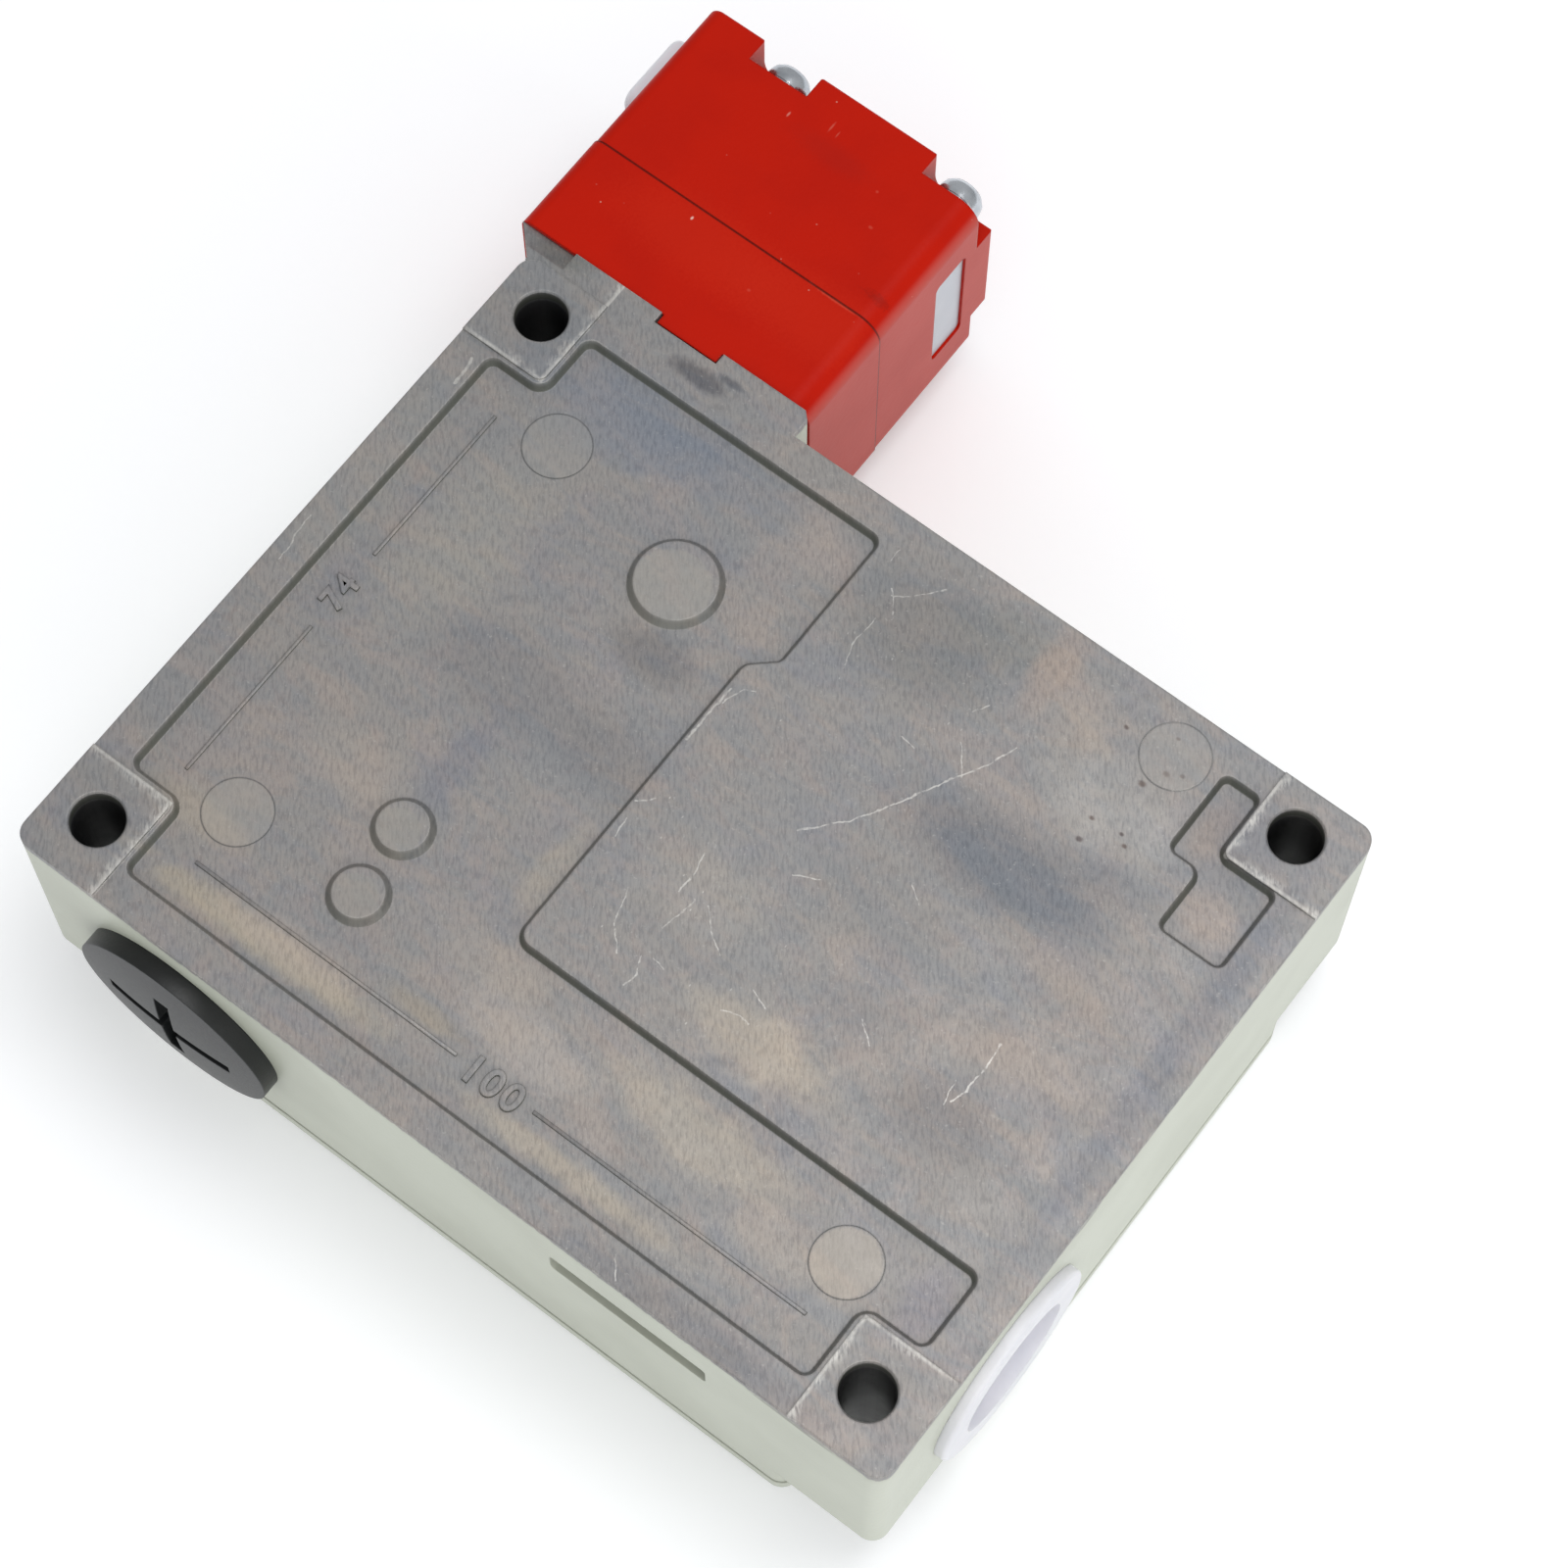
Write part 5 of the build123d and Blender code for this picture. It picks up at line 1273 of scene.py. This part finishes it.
@dataclass
class LiveSprings:
    """The plunger's and the core's springs, copied as pieces of their own."""

    plunger_x: float = -35.9
    shelf_y: float = 33.0
    collar_y: float = 40.6
    coil_y: float = 24.1
    depth_z: float = -17.0
    core_collar_x: float = -4.8
    yoke_leg_x: float = 2.0
    core_travel: float = 4.0

    def build(self, frame: dict, material: bpy.types.Material) -> None:
        """Make copies of both springs: the plunger's on no body, the core's on the housing.

        Args:
            frame: The loaded frame.
            material: Their metal.
        """
        rising = self.copied(frame, "plunger_spring", material, None)
        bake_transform(rising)
        pushing = self.copied(frame, "core_spring", material, Body.HOUSING)
        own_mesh(pushing)

    def copied(self, frame: dict, node: str, material: bpy.types.Material,
               body: Body | None) -> bpy.types.Object:
        """Copy a CAD spring as a piece of its own.

        Args:
            frame: The loaded frame.
            node: The spring's node.
            material: Its metal.
            body: The body it rides on, if it rides on one.

        Returns:
            The piece, which stands for the node.
        """
        piece = Piece(f"{node}_wire")
        piece.mesh.from_mesh(frame["nodes"][node].data)
        bmesh.ops.scale(piece.mesh, vec=(1 / MM, 1 / MM, 1 / MM), verts=piece.mesh.verts)
        made = piece.finish(material, body)
        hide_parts(node)
        return made


@dataclass
class Studio:
    """Pale floor, soft light and the camera at the photograph's angle."""

    floor_z: float = -37.2
    floor_size: float = 6000.0
    lens: float = 101.343
    eye: Point = (107.296, -127.337, 426.631)
    right: Point = (0.795339, 0.606161, 0.002167)
    up: Point = (-0.563178, 0.737610, 0.372508)
    back: Point = (0.224201, -0.297491, 0.928026)
    world_strength: float = 0.55
    floor_glow: float = 0.24

    def build(self) -> None:
        """Make the floor, the world, the lamps and the camera."""
        self.floor()
        self.world()
        self.lamp("overhead", (120.0, 160.0, 760.0), 380.0, 2.25, (1.0, 1.0, 1.0, 1.0))
        self.lamp("front_fill", (300.0, -600.0, 420.0), 600.0, 1.3, (1.0, 0.99, 0.97, 1.0))
        self.lamp("right_fill", (660.0, -40.0, 260.0), 500.0, 0.95, (1.0, 1.0, 0.99, 1.0))
        self.camera()

    def floor(self) -> None:
        """Pale floor that shows white and keeps the shadow."""
        part = bmesh.new()
        bmesh.ops.create_grid(part, x_segments=4, y_segments=4, size=self.floor_size / 2 * MM,
                              matrix=Matrix.Translation((0, 0, self.floor_z * MM)))
        data = bpy.data.meshes.new("studio_floor")
        part.to_mesh(data)
        part.free()
        made = bpy.data.objects.new("studio_floor", data)
        bpy.context.scene.collection.objects.link(made)
        graph = Graph("floor_paper")
        paper = graph.node("ShaderNodeBsdfDiffuse", {}, {"Color": (0.86, 0.87, 0.89, 1.0)})
        glow = graph.node("ShaderNodeEmission", {}, {"Color": (1.0, 1.0, 1.0, 1.0),
                                                     "Strength": self.floor_glow})
        path = graph.node("ShaderNodeLightPath", {}, {})
        seen = Wire(graph, path.outputs["Is Camera Ray"])
        for name in ("Is Glossy Ray", "Is Transmission Ray"):
            seen = seen.most(Wire(graph, path.outputs[name]))
        lifted = graph.node("ShaderNodeAddShader", {}, {
            0: Wire(graph, paper.outputs[0]), 1: Wire(graph, glow.outputs[0])})
        mix = graph.node("ShaderNodeMixShader", {}, {
            0: seen, 1: Wire(graph, paper.outputs[0]), 2: Wire(graph, lifted.outputs[0])})
        graph.node("ShaderNodeOutputMaterial", {}, {"Surface": Wire(graph, mix.outputs[0])})
        data.materials.append(graph.material)

    def world(self) -> None:
        """Even pale light from all round, white where it is seen."""
        world = bpy.data.worlds.new("studio_world")
        bpy.context.scene.world = world
        world.use_nodes = True
        tree = world.node_tree
        tree.nodes.clear()
        light = tree.nodes.new("ShaderNodeBackground")
        light.inputs[0].default_value = (0.98, 0.99, 1.0, 1.0)
        light.inputs[1].default_value = self.world_strength
        white = tree.nodes.new("ShaderNodeBackground")
        white.inputs[0].default_value = (1.0, 1.0, 1.0, 1.0)
        white.inputs[1].default_value = 1.0
        path = tree.nodes.new("ShaderNodeLightPath")
        mix = tree.nodes.new("ShaderNodeMixShader")
        out = tree.nodes.new("ShaderNodeOutputWorld")
        tree.links.new(path.outputs["Is Camera Ray"], mix.inputs[0])
        tree.links.new(light.outputs[0], mix.inputs[1])
        tree.links.new(white.outputs[0], mix.inputs[2])
        tree.links.new(mix.outputs[0], out.inputs[0])

    def lamp(self, name: str, place: Point, size: float, power: float, colour: Colour) -> None:
        """Add a large square lamp that looks at the object.

        Args:
            name: Its name.
            place: Its place in millimetres.
            size: Its side in millimetres.
            power: Its strength in watts.
            colour: Its colour.
        """
        data = bpy.data.lights.new(name, "AREA")
        data.shape = "SQUARE"
        data.size = size * MM
        data.energy = power
        data.color = colour[:3]
        made = bpy.data.objects.new(name, data)
        made.location = Vector(place) * MM
        made.rotation_euler = (-Vector(place)).to_track_quat("-Z", "Y").to_euler()
        bpy.context.scene.collection.objects.link(made)

    def camera(self) -> None:
        """Add the camera at the photograph's viewing angle."""
        data = bpy.data.cameras.new("camera")
        data.lens = self.lens
        data.sensor_width = 36.0
        data.clip_start, data.clip_end = 0.01, 50.0
        made = bpy.data.objects.new("camera", data)
        turn = Matrix((self.right, self.up, self.back)).transposed().to_4x4()
        made.matrix_world = Matrix.Translation(Vector(self.eye) * MM) @ turn
        bpy.context.scene.collection.objects.link(made)
        bpy.context.scene.camera = made


def cad_sets() -> list[CadSet]:
    """The sub-assemblies of the part with a finish for each node."""
    return [
        CadSet("housing and cover", {
            "rear_housing": CastHousing(), "cover_gasket": RUBBER, "front_cover": COVER_PAINT,
            "cover_screws": ZINC}),
        CadSet("entries", {
            "conduit_plug": BLACK, "plug_seal": RUBBER, "conduit_cap": MILKY}),
        CadSet("head", {
            "head_base": RED, "head_cap": RED, "head_seal": RUBBER, "head_washers": ZINC,
            "slot_plug": MILKY, "slot_insert": INSERT, "operating_cam": CAM_METAL,
            "cam_pin": PIN_METAL, "head_plunger": PIN_METAL, "plunger_spring": SPRING_METAL}),
        CadSet("contact block", {
            "contact_slider": IVORY, "moving_contacts": BRASS, "switch_block": DARK,
            "fixed_contacts": BRASS, "contact_screws": ZINC, "block_screws": ZINC}),
        CadSet("lock", {
            "solenoid_frame": YOKE_METAL, "solenoid_bobbin": IVORY, "solenoid_coil": Winding(),
            "pole_piece": YOKE_METAL, "yoke_screws": ZINC, "solenoid_core": PIN_METAL,
            "core_spring": SPRING_METAL, "lock_plate": YOKE_METAL}),
        CadSet("wiring", {
            "terminal_block": DARK, "terminal_clamps": ZINC, "terminal_screws": ZINC,
            "row_screws": ZINC, "ground_screw": BRASS}),
    ]


def main() -> None:
    """Build and dress every sub-assembly, then set the studio."""
    logging.basicConfig(level=logging.INFO, format="%(message)s")
    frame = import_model()
    shared: dict[Finish, bpy.types.Material] = {}
    for group in cad_sets():
        group.dress(frame, shared)
    CastMarks().build(shared[CastHousing()])
    HeadScrews().build(shared[ZINC])
    LiveSprings().build(frame, shared[SPRING_METAL])
    Studio().build()
    scene = bpy.context.scene
    scene.view_settings.view_transform = "Standard"
    LOG.info("sizes written")


if __name__ == "__main__":
    main()
